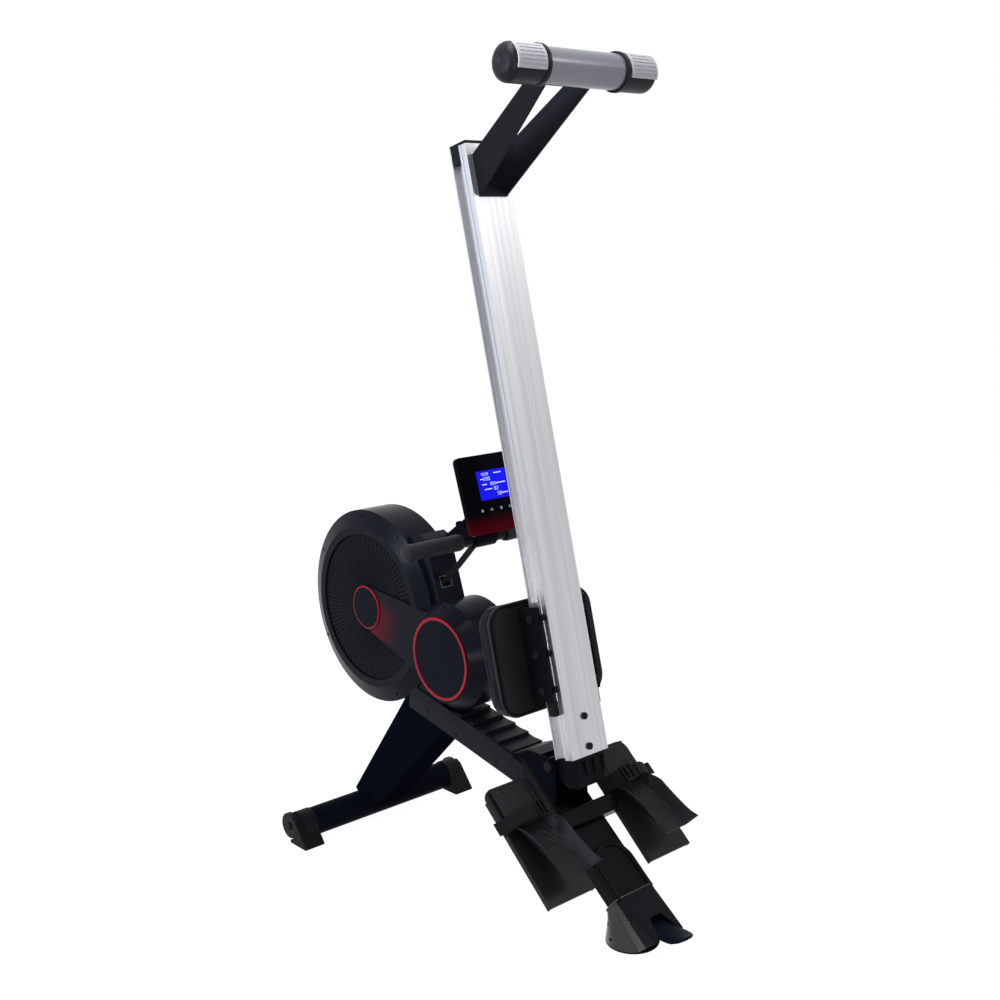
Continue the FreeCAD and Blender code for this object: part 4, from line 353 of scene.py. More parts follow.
def housing_skin():
    """Dark plastic; the red is strongest beside the boss, fades along the band and ends at its edges."""
    skin = finish("housing_plastic", (0.0050, 0.0062, 0.0110), 0.24, shine=0.05, bump=0.012)
    tree = skin.node_tree
    place = tree.nodes.new("ShaderNodeTexCoord")
    from_boss = tree.nodes.new("ShaderNodeVectorMath")
    from_boss.operation = "SUBTRACT"
    from_boss.inputs[1].default_value = (disc_centre[0], 0.0, disc_centre[1])
    tree.links.new(place.outputs["Object"], from_boss.inputs[0])

    def measured(direction, low, high):
        """0 at low and 1 at high, by distance from the boss in that direction."""
        dot = tree.nodes.new("ShaderNodeVectorMath")
        dot.operation = "DOT_PRODUCT"
        dot.inputs[1].default_value = direction
        tree.links.new(from_boss.outputs["Vector"], dot.inputs[0])
        ramp = tree.nodes.new("ShaderNodeMapRange")
        ramp.interpolation_type = "SMOOTHSTEP"
        ramp.inputs["From Min"].default_value = low
        ramp.inputs["From Max"].default_value = high
        tree.links.new(dot.outputs["Value"], ramp.inputs["Value"])
        return ramp.outputs["Result"]

    along = (math.cos(band_tilt), 0, math.sin(band_tilt))
    across = (-math.sin(band_tilt), 0, math.cos(band_tilt))
    red = measured(along, 0.130, 0.030)
    for part in (measured(along, 0.015, 0.030), measured(across, 0.052, 0.0),
                 measured(across, -0.062, -0.050)):
        product = tree.nodes.new("ShaderNodeMath")
        product.operation = "MULTIPLY"
        tree.links.new(red, product.inputs[0])
        tree.links.new(part, product.inputs[1])
        red = product.outputs[0]
    second_colour(skin, (0.095, 0.004, 0.014), red)
    return skin


dress(housing_skin(), "housing_right", "housing_left")
vent_plastic = finish("vent_plastic", (0.0030, 0.0036, 0.0056), 0.45, shine=0.03, bump=0.05, grain=700)
dress(vent_plastic, "vent_discs")
badge_plastic = finish("badge_plastic", (0.0036, 0.0046, 0.010), 0.25, shine=0.03, bump=0.01, grain=700)
dress(badge_plastic, "badge_caps")


def outward(mesh):
    """Merges doubled points and turns every face of a closed mesh outwards."""
    shape = bmesh.new()
    shape.from_mesh(mesh)
    bmesh.ops.remove_doubles(shape, verts=shape.verts, dist=1e-6)
    bmesh.ops.recalc_face_normals(shape, faces=shape.faces)
    shape.to_mesh(mesh)
    shape.free()


def piece(name, points, faces, skin, body, smooth=True):
    """A new mesh piece from an array of points and a list of faces, riding on a body."""
    mesh = bpy.data.meshes.new(name)
    mesh.from_pydata(points.tolist(), [], faces)
    outward(mesh)
    mesh.materials.append(skin)
    if smooth:
        mesh.shade_smooth()
        mesh.set_sharp_from_angle(angle=math.radians(38))
    thing = bpy.data.objects.new(name, mesh)
    bpy.context.scene.collection.objects.link(thing)
    if body:
        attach(thing, body)
    return thing


def sheet_faces(rows, columns, around=False, along=False):
    """The quads of a rows x columns grid of points, closed round its columns or along its rows."""
    r = np.arange(rows if along else rows - 1)[:, None]
    c = np.arange(columns if around else columns - 1)[None, :]
    r2 = (r + 1) % rows
    c2 = (c + 1) % columns
    quads = np.stack([r * columns + c, r * columns + c2, r2 * columns + c2, r2 * columns + c], -1)
    return quads.reshape(-1, 4).tolist()


def tube_faces(rows, columns):
    """The quads of a tube of rows x columns points, with a flat face over each end."""
    count = rows * columns
    ends = [list(range(columns)), list(range(count - columns, count))]
    return sheet_faces(rows, columns, around=True) + ends


def lathed(centre, section, side, turns=128):
    """Points and faces of a closed section turned round an axis across the machine.

    The section is a list of (radius, distance from the machine's middle), on the given side.
    """
    angle = np.linspace(0, 2 * math.pi, turns, endpoint=False)[:, None]
    radius, y = np.asarray(section, float).T
    points = np.stack([centre[0] + radius * np.cos(angle), np.broadcast_to(side * y, (turns, len(y))),
                       centre[1] + radius * np.sin(angle)], -1)
    return points.reshape(-1, 3), sheet_faces(turns, len(section), around=True, along=True)


def merged(parts):
    """Several (points, faces) as one."""
    points, faces, count = [], [], 0
    for p, f in parts:
        points.append(p)
        faces += [[i + count for i in face] for face in f]
        count += len(p)
    return np.vstack(points), faces


box_corner = np.indices((2, 2, 2)).reshape(3, 8)   # 0 or 1 in each of three directions


def boxes(corners):
    """Points and faces of many boxes, each with its eight corners in the order of box_corner."""
    sides = np.array([(0, 1, 3, 2), (4, 6, 7, 5), (0, 4, 5, 1), (2, 3, 7, 6), (1, 5, 7, 3), (0, 2, 6, 4)])
    faces = sides + 8 * np.arange(len(corners))[:, None, None]
    return corners.reshape(-1, 3), faces.reshape(-1, 4).tolist()


def slats():
    """Radial bars in three rings on both sides, left out under the band, the boss and the drum.

    A corner lies at the bar's inner or outer radius along its angle, and its half width is a share of that.
    The top is narrower than the foot.
    """
    share, top_share = 0.014, 0.75
    foot_y, top_y = 0.0558, 0.0569
    band_half, band_flare, drum_clear = 0.056, 0.12, 0.124
    end, edge, top = box_corner
    side = np.array([-1, 1])[None, :, None]
    turns = np.linspace(0, 2 * math.pi, 96, endpoint=False)
    bars = []
    for inner, outer in ((0.059, 0.093), (0.0965, 0.1305), (0.134, 0.168)):
        middle = (inner + outer) / 2
        along = middle * np.cos(turns - band_tilt)
        across = np.abs(middle * np.sin(turns - band_tilt))
        under_band = (along > 0) & (across < band_half + band_flare * along)
        tip_x = disc_centre[0] + outer * np.cos(turns) - drum_centre[0]
        tip_z = disc_centre[1] + outer * np.sin(turns) - drum_centre[1]
        under_drum = np.hypot(tip_x, tip_z) < drum_clear
        angle = turns[~(under_band | under_drum)][:, None, None]
        reach = np.where(end, outer, inner)
        width = (2 * edge - 1) * share * reach * np.where(top, top_share, 1.0)
        x = disc_centre[0] + reach * np.cos(angle) - width * np.sin(angle)
        z = disc_centre[1] + reach * np.sin(angle) + width * np.cos(angle)
        y = side * np.where(top, top_y, foot_y)
        bars.append(np.stack(np.broadcast_arrays(x, y, z), -1).reshape(-1, 8, 3))
    return boxes(np.vstack(bars))


slat_plastic = finish("slat_plastic", (0.0062, 0.0070, 0.0115), 0.42, shine=0.06, bump=0.05, grain=700)
piece("vent_slats", *slats(), slat_plastic, "frame", smooth=False)

ring_red = finish("ring_red", (0.34, 0.006, 0.020), 0.3, shine=0.12, bump=0.01)
boss_ring = [(0.0468, 0.0610), (0.0468, 0.0630), (0.0476, 0.0634), (0.0496, 0.0634), (0.0504, 0.0628),
             (0.0508, 0.0610)]
drum_ring = [(0.0855, 0.0740), (0.0855, 0.0752), (0.0862, 0.0756), (0.0916, 0.0756), (0.0923, 0.0752),
             (0.0923, 0.0740)]
rings = [lathed(centre, section, side) for side in (-1, 1)
         for centre, section in ((disc_centre, boss_ring), (drum_centre, drum_ring))]
piece("housing_rings", *merged(rings), ring_red, "frame")


# ---- rear caps --------------------------------------------------------------------------------
# Domed plastic caps close the rear cross tube. A collar stops each one on the tube,
# and a shallow dimple marks the middle of the dome.

rear_tube_at = (-0.1221, 1.6776)


def dome_cap(side):
    """Section turned round the rear tube: a collar, a straight sleeve and a domed end with a dimple.

    The dome's section is a quarter of an ellipse.
    """
    bend = np.linspace(0, math.pi / 2, 14)
    dome = zip(0.0140 + 0.0212 * np.cos(bend), 0.169 + 0.0165 * np.sin(bend))
    section = [(0.0332, 0.0960), (0.0374, 0.0962), (0.0374, 0.1045), (0.0353, 0.1052), (0.0352, 0.160), *dome,
               (0.0125, 0.1846), (0.0, 0.1840), (0.0, 0.1722), (0.0332, 0.1722)]
    return lathed(rear_tube_at, section, side, turns=96)


caps = piece("rear_caps_domed", *merged([dome_cap(1), dome_cap(-1)]), cap_plastic, "rail")
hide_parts("rear_caps")


# ---- boot and release pedal --------------------------------------------------------------------
# A glossy moulded boot clamps the foot of the post. Its round base spreads the load,
# and a hood at the back covers the root of the pedal that lets the rail down.

post_foot = (0.0106, 0.1035)
post_tilt = math.radians(-39.6)
circle_count, climb_count, arch_count = 150, 21, 61   # points in each run of the boot's edges
rim_count = circle_count + 2 * climb_count + arch_count


def placed(origin, tilt, x, y, z):
    """World place of a point in a part's own frame, which is turned by tilt in the upright plane.

    X and z turn by the tilt round the origin, and y stays the distance across the machine.
    """
    x, y, z = np.broadcast_arrays(x, y, z)
    return np.stack([origin[0] + x * math.cos(tilt) - z * math.sin(tilt), y,
                     origin[1] + x * math.sin(tilt) + z * math.cos(tilt)], -1)


def eased(t):
    """0 to 1 with level ends: 3 t squared less 2 t cubed, with t held between 0 and 1."""
    t = np.clip(t, 0, 1)
    return t * t * (3 - 2 * t)


def squared(wave, power):
    """The wave's size to a power, with its sign: a power under 1 turns an ellipse into a rounded oblong."""
    return np.sign(wave) * np.abs(wave) ** power


def boot_rims():
    """The boot's lower and upper edges as two closed curves with matching points.

    Lower: most of a circle on the floor, a line up to each lip, and an arch between the lips.
    Upper: the post's rounded oblong, turned so that its upper face meets the arch.
    """
    radius, floor_gap = 0.054, 0.0043
    angle = np.linspace(math.radians(37), math.radians(323), circle_count)
    circle = np.stack([radius * np.cos(angle), radius * np.sin(angle), np.full(circle_count, floor_gap)], -1)
    climb = np.linspace(0, 1, climb_count + 1)
    lip = np.array([0.099, -0.0385, 0.048])
    near = circle[-1] * (1 - climb[1:, None]) + lip * climb[1:, None]
    far = near[::-1] * (1, -1, 1)
    across = np.linspace(-0.0375, 0.0375, arch_count)
    reach = 0.061 + 0.038 * eased((np.abs(across) - 0.013) / 0.021)
    arch = np.stack([reach, across, 0.1105 - 0.63 * (reach - 0.010)], -1)
    lower = np.vstack([circle, near, arch, far])
    # share of the way round the oblong for each run: under and sides, corner, upper face, corner
    share = np.concatenate([np.linspace(0.22, 0.78, circle_count), 0.78 + 0.082 * climb[1:],
                            np.linspace(0.872, 1.128, arch_count), 1.138 + 0.082 * climb[:-1]])
    turn = 2 * math.pi * share
    y = 0.0546 * squared(np.sin(turn), 0.40)
    z = -0.0208 + 0.0254 * squared(np.cos(turn), 0.40)
    return lower, placed(post_foot, post_tilt, -0.006, y, z)


def boot_wall(first, last):
    """Straight lines drawn from the lower edge to the upper edge, over one run of their points."""
    lower, upper = boot_rims()
    run = np.arange(first, last + 1) % rim_count
    rise = np.linspace(0, 1, 40)[:, None, None]
    points = lower[run] * (1 - rise) + upper[run] * rise
    return points.reshape(-1, 3), sheet_faces(len(rise), len(run))


def beaded(path, thickness, turns=12):
    """A round bead carried along a closed curve."""
    heading = np.roll(path, -1, 0) - np.roll(path, 1, 0)
    heading /= np.linalg.norm(heading, axis=1, keepdims=True)
    side = np.cross(heading, path.mean(0) - path)
    side /= np.linalg.norm(side, axis=1, keepdims=True)
    other = np.cross(heading, side)
    angle = np.linspace(0, 2 * math.pi, turns, endpoint=False)[None, :, None]
    points = path[:, None] + thickness * (np.cos(angle) * side[:, None] + np.sin(angle) * other[:, None])
    return points.reshape(-1, 3), sheet_faces(len(path), turns, around=True, along=True)


def walled(thing, thickness, offset=-1.0):
    """Gives an open shell its wall: inwards for an offset of -1, outwards for 1 and both ways for 0."""
    wall = thing.modifiers.new("wall", "SOLIDIFY")
    wall.thickness = thickness
    wall.offset = offset


boot_plastic = finish("boot_plastic", (0.013, 0.0123, 0.0128), 0.22, shine=0.44, vary=0.25, bump=0.01,
                      spread=14)
climb_kept = 10                          # points of each climb on the sides; the last is the hood's too
hood_start = circle_count + climb_kept - 1
hood_end = rim_count - climb_kept
boot_thickness = 0.003
boot = piece("boot_sides", *boot_wall(hood_end, hood_start + rim_count), boot_plastic, "frame")
walled(boot, boot_thickness)
hood_plastic = finish("hood_plastic", (0.0072, 0.0075, 0.0095), 0.42, shine=0.04, bump=0.06)
hood = piece("boot_panel", *boot_wall(hood_start, hood_end), hood_plastic, "frame")
walled(hood, boot_thickness)
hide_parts("boot_shells")
collar = piece("boot_collar", *beaded(boot_rims()[1], 0.0021), boot_plastic, "frame")


def screw_holes(places):
    """Countersinks on the boot's side as painted shade: short near-black drums set into its wall, square to
    it.
    """
    lower, upper = boot_rims()
    count, radius, sunk, proud = 20, 0.0034, 0.0015, 0.0004
    angle = np.linspace(0, 2 * math.pi, count, endpoint=False)[:, None]
    parts = []
    for column, height in places:
        middle = lower[column] * (1 - height) + upper[column] * height
        along = upper[column] - lower[column]
        along /= np.linalg.norm(along)
        around = ((lower[column + 1] - lower[column - 1]) * (1 - height)
                  + (upper[column + 1] - upper[column - 1]) * height)
        around /= np.linalg.norm(around)
        out = np.cross(around, along)
        ring = middle + radius * (np.cos(angle) * along + np.sin(angle) * around)
        parts.append((np.vstack([ring - sunk * out, ring + proud * out]), tube_faces(2, count)))
    return merged(parts)


# Painted shade: a near-black matte colour with no gloss that stands for the shade inside each countersink.
painted_hole_shade = finish("painted_hole_shade", (0.0015, 0.0015, 0.0018), 0.7, shine=0.0, bump=0.0)
hole_places = ((118, 0.20), (112, 0.60))   # point of the boot's edges, share of its height
holes = piece("boot_screw_holes", *screw_holes(hole_places), painted_hole_shade, "frame")


def pedal_tongue():
    """A flattened oval section carried along a line that dips and curls up at a rounded end.

    Its half width is steady, then falls as the root of 1 - t to the power 2.4 over the rounded end.
    """
    rows, columns = 60, 40
    root, tip, end_length = 0.014, 0.147, 0.034
    x = np.linspace(root, tip, rows)[:, None]
    middle = np.interp(x, [root, 0.045, 0.075, 0.105, 0.125, 0.138, tip],
                       [0.062, 0.060, 0.0575, 0.0565, 0.058, 0.0615, 0.0655])
    thick = np.interp(x, [root, 0.06, 0.12, tip], [0.0055, 0.0048, 0.0042, 0.0025])
    into_end = np.clip((x - tip + end_length) / end_length, 0, 1)
    half = 0.0305 * np.maximum(0.02, np.sqrt(1 - into_end ** 2.4))
    angle = np.linspace(0, 2 * math.pi, columns, endpoint=False)
    across = squared(np.cos(angle), 0.55)
    z = middle + thick * squared(np.sin(angle), 0.55) - 0.0022 * across ** 2
    points = np.stack(np.broadcast_arrays(x, half * across, z), -1)
    return points.reshape(-1, 3), tube_faces(rows, columns)


pedal_plastic = finish("pedal_plastic", (0.0040, 0.0056, 0.0125), 0.33, shine=0.02, bump=0.04)
dress(pedal_plastic, "handle_hub")
pedal = piece("pedal_tongue", *pedal_tongue(), pedal_plastic, "pedal")
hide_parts("release_pedal")


# ---- foot beds -----------------------------------------------------------------------------------
# Each foot plate carries a moulded bed that slides to suit the shoe: a toe pad, a rippled
# instep and a scoop that curls up behind the heel between two low walls.

plate_foot = (-0.022, 0.134)
plate_tilt = math.radians(-42.3)
bed_y = 0.140                            # middle of each bed, from the middle of the machine


def foot_bed(side):
    """Floor: flat at the toe, then rising to the heel as a power law; walls stand along its edges.

    One wall tapers off at the heel and the other ends there in a point. A low pad stands at the toe.
    Nested oval ripples, a sine of the distance from a point behind the instep, cover the floor.
    """
    rows, columns = 150, 72
    toe_end, heel_end = -0.256, -0.026
    x = np.linspace(toe_end, heel_end, rows)[:, None]
    u = np.linspace(-1, 1, columns)[None, :]
    rise = np.clip((x + 0.178) / 0.152, 0, 1)
    floor = 0.0062 + 0.050 * rise ** 1.35
    half = 0.0475 - 0.009 * rise
    start = eased((x + 0.190) / 0.060)
    fading = 0.030 * start * np.clip((heel_end - x) / 0.075, 0, 1) ** 0.7
    pointed = 0.032 * start * (1 - 0.3 * rise) + 0.006 * np.clip((x + 0.060) / 0.034, 0, 1) ** 2
    wall = np.where(u < 0, fading, pointed)
    edge = np.clip((np.abs(u) - 0.70) / 0.30, 0, 1)
    y = u * half * (1 + 0.08 * edge * start)
    ripple = 0.00045 * np.sin(2 * math.pi * 6.5 * np.sqrt(((x + 0.050) / 0.15) ** 2 + (y / 0.048) ** 2))
    fade = np.clip((x + 0.156) / 0.02, 0, 1) * (1 - edge)
    toe_length = np.clip((-0.170 - x) / 0.010, 0, 1) * np.clip((x + 0.252) / 0.010, 0, 1)
    toe = eased(toe_length * np.clip((0.80 - np.abs(u)) / 0.12, 0, 1))
    z = floor + wall * edge ** 1.1 + ripple * fade + 0.0030 * toe
    points = placed(plate_foot, plate_tilt, x, side * bed_y + y, z)
    return points.reshape(-1, 3), sheet_faces(rows, columns)


def toe_mark(side):
    """A raised bead in the shape of a U on the toe pad: a round profile carried along the U."""
    bow, thickness, columns = 0.020, 0.0011, 10
    bend = np.linspace(-math.pi / 2, math.pi / 2, 25)
    leg = np.linspace(-0.196, -0.226, 8)
    path_x = np.concatenate([leg, leg[-1] - bow * np.cos(bend), leg[::-1]])
    path_y = np.concatenate([np.full(8, -bow), bow * np.sin(bend), np.full(8, bow)])
    heading = np.arctan2(np.gradient(path_y), np.gradient(path_x))[:, None]
    angle = np.linspace(0, 2 * math.pi, columns, endpoint=False)
    off = thickness * np.cos(angle)
    x = path_x[:, None] - np.sin(heading) * off
    y = path_y[:, None] + np.cos(heading) * off
    points = placed(plate_foot, plate_tilt, x, side * (bed_y + y), 0.0092 + thickness * np.sin(angle))
    return points.reshape(-1, 3), tube_faces(len(path_x), columns)


bed_plastic = finish("footbed_plastic", (0.0125, 0.0120, 0.0145), 0.42, shine=0.10, vary=0.3, bump=0.08,
                     spread=40)
for side, name in ((1, "right"), (-1, "left")):
    body = "footbed_" + name
    bed = piece("foot_bed_" + name, *foot_bed(side), bed_plastic, body)
    walled(bed, 0.003, offset=0.0)
    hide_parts(body)
    piece("toe_mark_" + name, *toe_mark(side), bed_plastic, body)


# ---- foot straps -----------------------------------------------------------------------------------
# Flat woven webbing, 30 mm wide, riveted under each plate and drawn over the instep through a buckle.
# The loose end hangs past the outer edge.

def woven(name, colour):
    """Webbing: fine ribs across it, from one wave along its own length."""
    skin = finish(name, colour, 0.75, shine=0.05, sheen=0.03, bump=0.3, grain=1500)
    tree = skin.node_tree
    place = tree.nodes.new("ShaderNodeUVMap")
    ribs = tree.nodes.new("ShaderNodeTexWave")
    ribs.bands_direction = "X"
    ribs.inputs["Scale"].default_value = 60.0
    ribs.inputs["Distortion"].default_value = 0.4
    tree.links.new(place.outputs["UV"], ribs.inputs["Vector"])
    raised(skin, ribs.outputs["Fac"], 0.4, 0.0006)
    return skin


def band(line, half_width, across, thickness, name, skin, body):
    """A flat band: a line of points widened along a fixed direction, with a wall and a uv map.

    Each vertex's uv is ten times its distance along the line and its distance across the band.
    """
    columns = 9
    u = np.linspace(-1, 1, columns)[None, :, None]
    points = line[:, None, :] + u * half_width * np.asarray(across, float)
    strap = piece(name, points.reshape(-1, 3), sheet_faces(len(line), columns), skin, body)
    run = np.concatenate([[0], np.cumsum(np.linalg.norm(np.diff(line, axis=0), axis=1))])
    width = np.linspace(0, 2 * half_width, columns)
    where = 10 * np.stack([np.repeat(run, columns), np.tile(width, len(line))], -1)
    layer = strap.data.uv_layers.new(name="UVMap")
    corner = np.empty(len(strap.data.loops), np.int32)
    strap.data.loops.foreach_get("vertex_index", corner)
    layer.data.foreach_set("uv", where[corner].ravel())
    walled(strap, thickness, offset=1.0)
    return strap


webbing = woven("strap_webbing", (0.010, 0.010, 0.0115))
plate_axis = (math.cos(plate_tilt), 0, math.sin(plate_tilt))
strap_x = -0.1765                        # along the plate
half_span, spring, rise = 0.0605, 0.004, 0.032
radius = (half_span ** 2 + rise ** 2) / (2 * rise)
crown = spring + rise - radius
swing = math.asin(half_span / radius)
arc = np.linspace(-swing, swing, 60)
climb = np.linspace(-0.0055, spring, 8)
path = np.vstack([np.stack([np.full(7, -half_span), climb[:-1]], -1),
                  np.stack([radius * np.sin(arc), crown + radius * np.cos(arc)], -1),
                  np.stack([np.full(7, half_span), climb[-2::-1]], -1)])
fold = 0.0007 * np.sin(np.linspace(0, 9 * math.pi, len(path)))
tail_y = np.linspace(0.010, 0.080, 24)
tail_z = crown + np.sqrt(radius ** 2 - np.minimum(tail_y, half_span - 0.002) ** 2) + 0.0045
tail_z = tail_z - 0.25 * np.clip(tail_y - 0.052, 0, 1) + 0.0008 * np.sin(tail_y * 260)
for side, name in ((1, "right"), (-1, "left")):
    line = placed(plate_foot, plate_tilt, strap_x, side * (bed_y + path[:, 0]), path[:, 1] + fold + 0.0003)
    strap = band(line, 0.0150, plate_axis, 0.0022, "foot_strap_" + name, webbing, "frame")
    if name == "right":
        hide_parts("foot_straps")
    line = placed(plate_foot, plate_tilt, strap_x, side * (bed_y + tail_y), tail_z)
    tail = band(line, 0.0135, plate_axis, 0.0018, "strap_tail_" + name, webbing, "frame")


# ---- console -------------------------------------------------------------------------------------------
# A thin tilting box with a glossy printed face: a lit blue display with generic figures,
# five keys with white marks, and a red fade at its lower edge.

console_foot = (-0.355, 0.784)
console_lean = math.radians(16.8)


def console_skin():
    """Near-black gloss that turns red below a line across the face, by height up the face."""
    skin = finish("console_plastic", (0.0020, 0.0022, 0.0036), 0.2, shine=0.015, bump=0.01)
    tree = skin.node_tree
    place = tree.nodes.new("ShaderNodeTexCoord")
    height = tree.nodes.new("ShaderNodeVectorMath")
    height.operation = "DOT_PRODUCT"
    height.inputs[1].default_value = (-math.sin(console_lean), 0, math.cos(console_lean))
    tree.links.new(place.outputs["Object"], height.inputs[0])
    foot = console_foot[1] * math.cos(console_lean) - console_foot[0] * math.sin(console_lean)
    ramp = tree.nodes.new("ShaderNodeMapRange")
    ramp.interpolation_type = "SMOOTHSTEP"
    ramp.inputs["From Min"].default_value = foot + 0.044
    ramp.inputs["From Max"].default_value = foot + 0.004
    tree.links.new(height.outputs["Value"], ramp.inputs["Value"])
    second_colour(skin, (0.075, 0.0012, 0.005), ramp.outputs["Result"])
    return skin


dress(console_skin(), "console_housing")
key_gloss = finish("key_plastic", (0.003, 0.003, 0.0045), 0.2, shine=0.03, bump=0.01)
dress(key_gloss, *["console_key_%d" % n for n in range(1, 6)])


def lit(name, colour, strength):
    """A glowing face behind clear plastic: emission with a weak gloss."""
    skin = finish(name, [c * 0.2 for c in colour], 0.15, shine=0.04, vary=0.05, bump=0.0)
    body = skin.node_tree.nodes["body"]
    body.inputs["Emission Color"].default_value = (*colour, 1)
    body.inputs["Emission Strength"].default_value = strength
    return skin


dress(lit("console_lcd", (0.006, 0.008, 0.80), 1.0), "console_screen")
figure_white = lit("display_figures", (0.85, 0.87, 1.0), 0.9)


def marks(rows, out, thickness):
    """Small raised rectangles on the console's face, each (y, up, half width, half height)."""
    y, up, half_y, half_up = np.array(rows).T[:, :, None]
    front, right_edge, top = box_corner
    corners = placed(console_foot, console_lean, out - thickness * (1 - front),
                     y + (2 * right_edge - 1) * half_y, up + (2 * top - 1) * half_up)
    return boxes(corners)


def digit_bars(y, up, size, shown):
    """Seven-segment figure: the bars whose letters are in shown, with the half height as its size."""
    wide, high, thin = size * 0.5, size, size * 0.08
    bars = {
        "a": (0, high, wide, thin), "g": (0, 0, wide, thin), "d": (0, -high, wide, thin),
        "f": (-wide, high / 2, thin, high / 2), "b": (wide, high / 2, thin, high / 2),
        "e": (-wide, -high / 2, thin, high / 2), "c": (wide, -high / 2, thin, high / 2),
    }
    return [(y + bars[k][0], up + bars[k][1], *bars[k][2:]) for k in shown]


zero, two, five, eight = "abcdef", "abged", "afgcd", "abcdefg"
digit_step, line_half = 1.9, 0.0009      # step as a share of the size, half height of the plain lines
figures = []
for start, up, size, digits in (
        (-0.028, 0.1225, 0.0026, (five, zero, two, zero)),
        (-0.024, 0.1125, 0.0034, (two, eight, zero)),
        (-0.008, 0.1010, 0.0030, (zero, zero, five)),
        (0.0, 0.0905, 0.0034, (eight, two)),
        (0.006, 0.0790, 0.0034, (five, zero))):
    for place, shown in enumerate(digits):
        figures += digit_bars(start + place * size * digit_step, up, size, shown)
for y, up, half in ((-0.030, 0.1125, 0.004), (0.014, 0.1225, 0.010), (0.018, 0.1010, 0.012),
                    (-0.018, 0.0905, 0.010), (0.024, 0.0790, 0.008), (-0.026, 0.1010, 0.006)):
    figures.append((y, up, half, line_half))
text = piece("display_figures", *marks(figures, out=0.0004, thickness=0.0006), figure_white, "console",
             smooth=False)

key_white = finish("key_marks", (0.45, 0.45, 0.46), 0.4, shine=0.3, bump=0.0)
third_key_y, key_pitch, key_up = 0.004, 0.0254, 0.048
for number in range(1, 6):
    y = third_key_y + (number - 3) * key_pitch
    if number % 2:
        symbol = [(y, key_up, 0.0026, 0.0026)]
    else:
        symbol = [(y - 0.0024, key_up, 0.0012, 0.0024), (y + 0.0018, key_up, 0.0006, 0.0030)]
    mark = piece("key_mark_%d" % number, *marks(symbol, out=0.00145, thickness=0.0004), key_white,
                 "key_%d" % number, smooth=False)


# ---- handle ---------------------------------------------------------------------------------------------
# A steel tube in black foam grips, hung on the two hooks of the console arm.
# A moulded hub at its middle takes the webbing that winds onto the spool.

handle_at = (-0.428, 0.7575)


def grip(side):
    """Foam sleeve with a domed outer end: a cosine squared swells its ends and middle, a sine ribs it."""
    inner_y, length, bore = 0.0603, 0.1477, 0.0126
    reach = np.linspace(0, 1, 60)
    radius = 0.0172 + 0.0007 * np.cos(2 * math.pi * reach) ** 2 + 0.0003 * np.sin(reach * 150)
    radius *= np.sqrt(1 - np.clip((reach - 0.965) / 0.035, 0, 1) ** 2)
    radius *= np.where(reach < 0.02, 0.93, 1.0)
    section = [(bore, inner_y), *zip(radius, inner_y + length * reach),
               (0.0, 0.2079), (0.0, 0.202), (bore, 0.202)]
    return lathed(handle_at, section, side, turns=64)


grip_foam = finish("grip_foam", (0.015, 0.0145, 0.018), 0.5, shine=0.14, vary=0.2, bump=0.45, grain=1100)
grips = piece("handle_grips_foam", *merged([grip(1), grip(-1)]), grip_foam, "handle")
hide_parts("handle_grips")
tube_black = finish("handle_tube_black", (0.005, 0.005, 0.007), 0.35, shine=0.08, bump=0.05)
dress(tube_black, "handle_tube")

pull_y = -0.006
outlet_at = placed((-0.536, 0.600), math.radians(17.6), 0, pull_y, 0.044)   # mouth of the leaning outlet
hub_at = np.array([handle_at[0], pull_y, handle_at[1]])
pull_axis = (hub_at - outlet_at) / np.linalg.norm(hub_at - outlet_at)
start = outlet_at - 0.022 * pull_axis
end = hub_at - 0.019 * pull_axis
line = start + (end - start) * np.linspace(0, 1, 60)[:, None]
line[:, 0] += 0.0015 * np.sin(np.linspace(0, math.pi, 60))
pull = band(line, 0.0120, (0, 1, 0), 0.0020, "pull_webbing", webbing, None)
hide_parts("pull_strap")
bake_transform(pull)


# ---- seat -------------------------------------------------------------------------------------------------
# A foam pad under stretched vinyl, piped round its lower rim and round its top, on a moulded board.
# It runs on six nylon rollers held in a folded steel carriage.

rail_foot = (-0.1106, 0.3607)
seat_out, seat_along = -0.0763, 0.2125   # middle of the cushion's flat underside


def rim(half_y, half_along, corner, count=26):
    """Rounded oblong as (y, along) round its middle: a quarter of a circle at each corner."""
    angle = np.linspace(0, math.pi / 2, count) + np.arange(4)[:, None] * math.pi / 2
    y = np.array([1, -1, -1, 1])[:, None] * (half_y - corner) + corner * np.cos(angle)
    along = np.array([1, 1, -1, -1])[:, None] * (half_along - corner) + corner * np.sin(angle)
    return np.stack([y.ravel(), along.ravel()], -1)


def cushion_shell():
    """Rings of the rounded oblong: flat under the rim, sides that pull in, a crowned top."""
    y, along = rim(0.1465, 0.1175, 0.043).T
    scale, out = np.array([
        (0.02, 0.0), (0.5, 0.0), (0.93, 0.0), (0.985, -0.001), (1.0, -0.005), (0.992, -0.014),
        (0.990, -0.022), (0.985, -0.029), (0.965, -0.033), (0.92, -0.0355), (0.75, -0.0375),
        (0.5, -0.0385), (0.25, -0.039), (0.02, -0.039)]).T[:, :, None]
    points = placed(rail_foot, rail_lean, seat_out + out, y * scale, seat_along + along * scale)
    return points.reshape(-1, 3), tube_faces(len(scale), len(y))


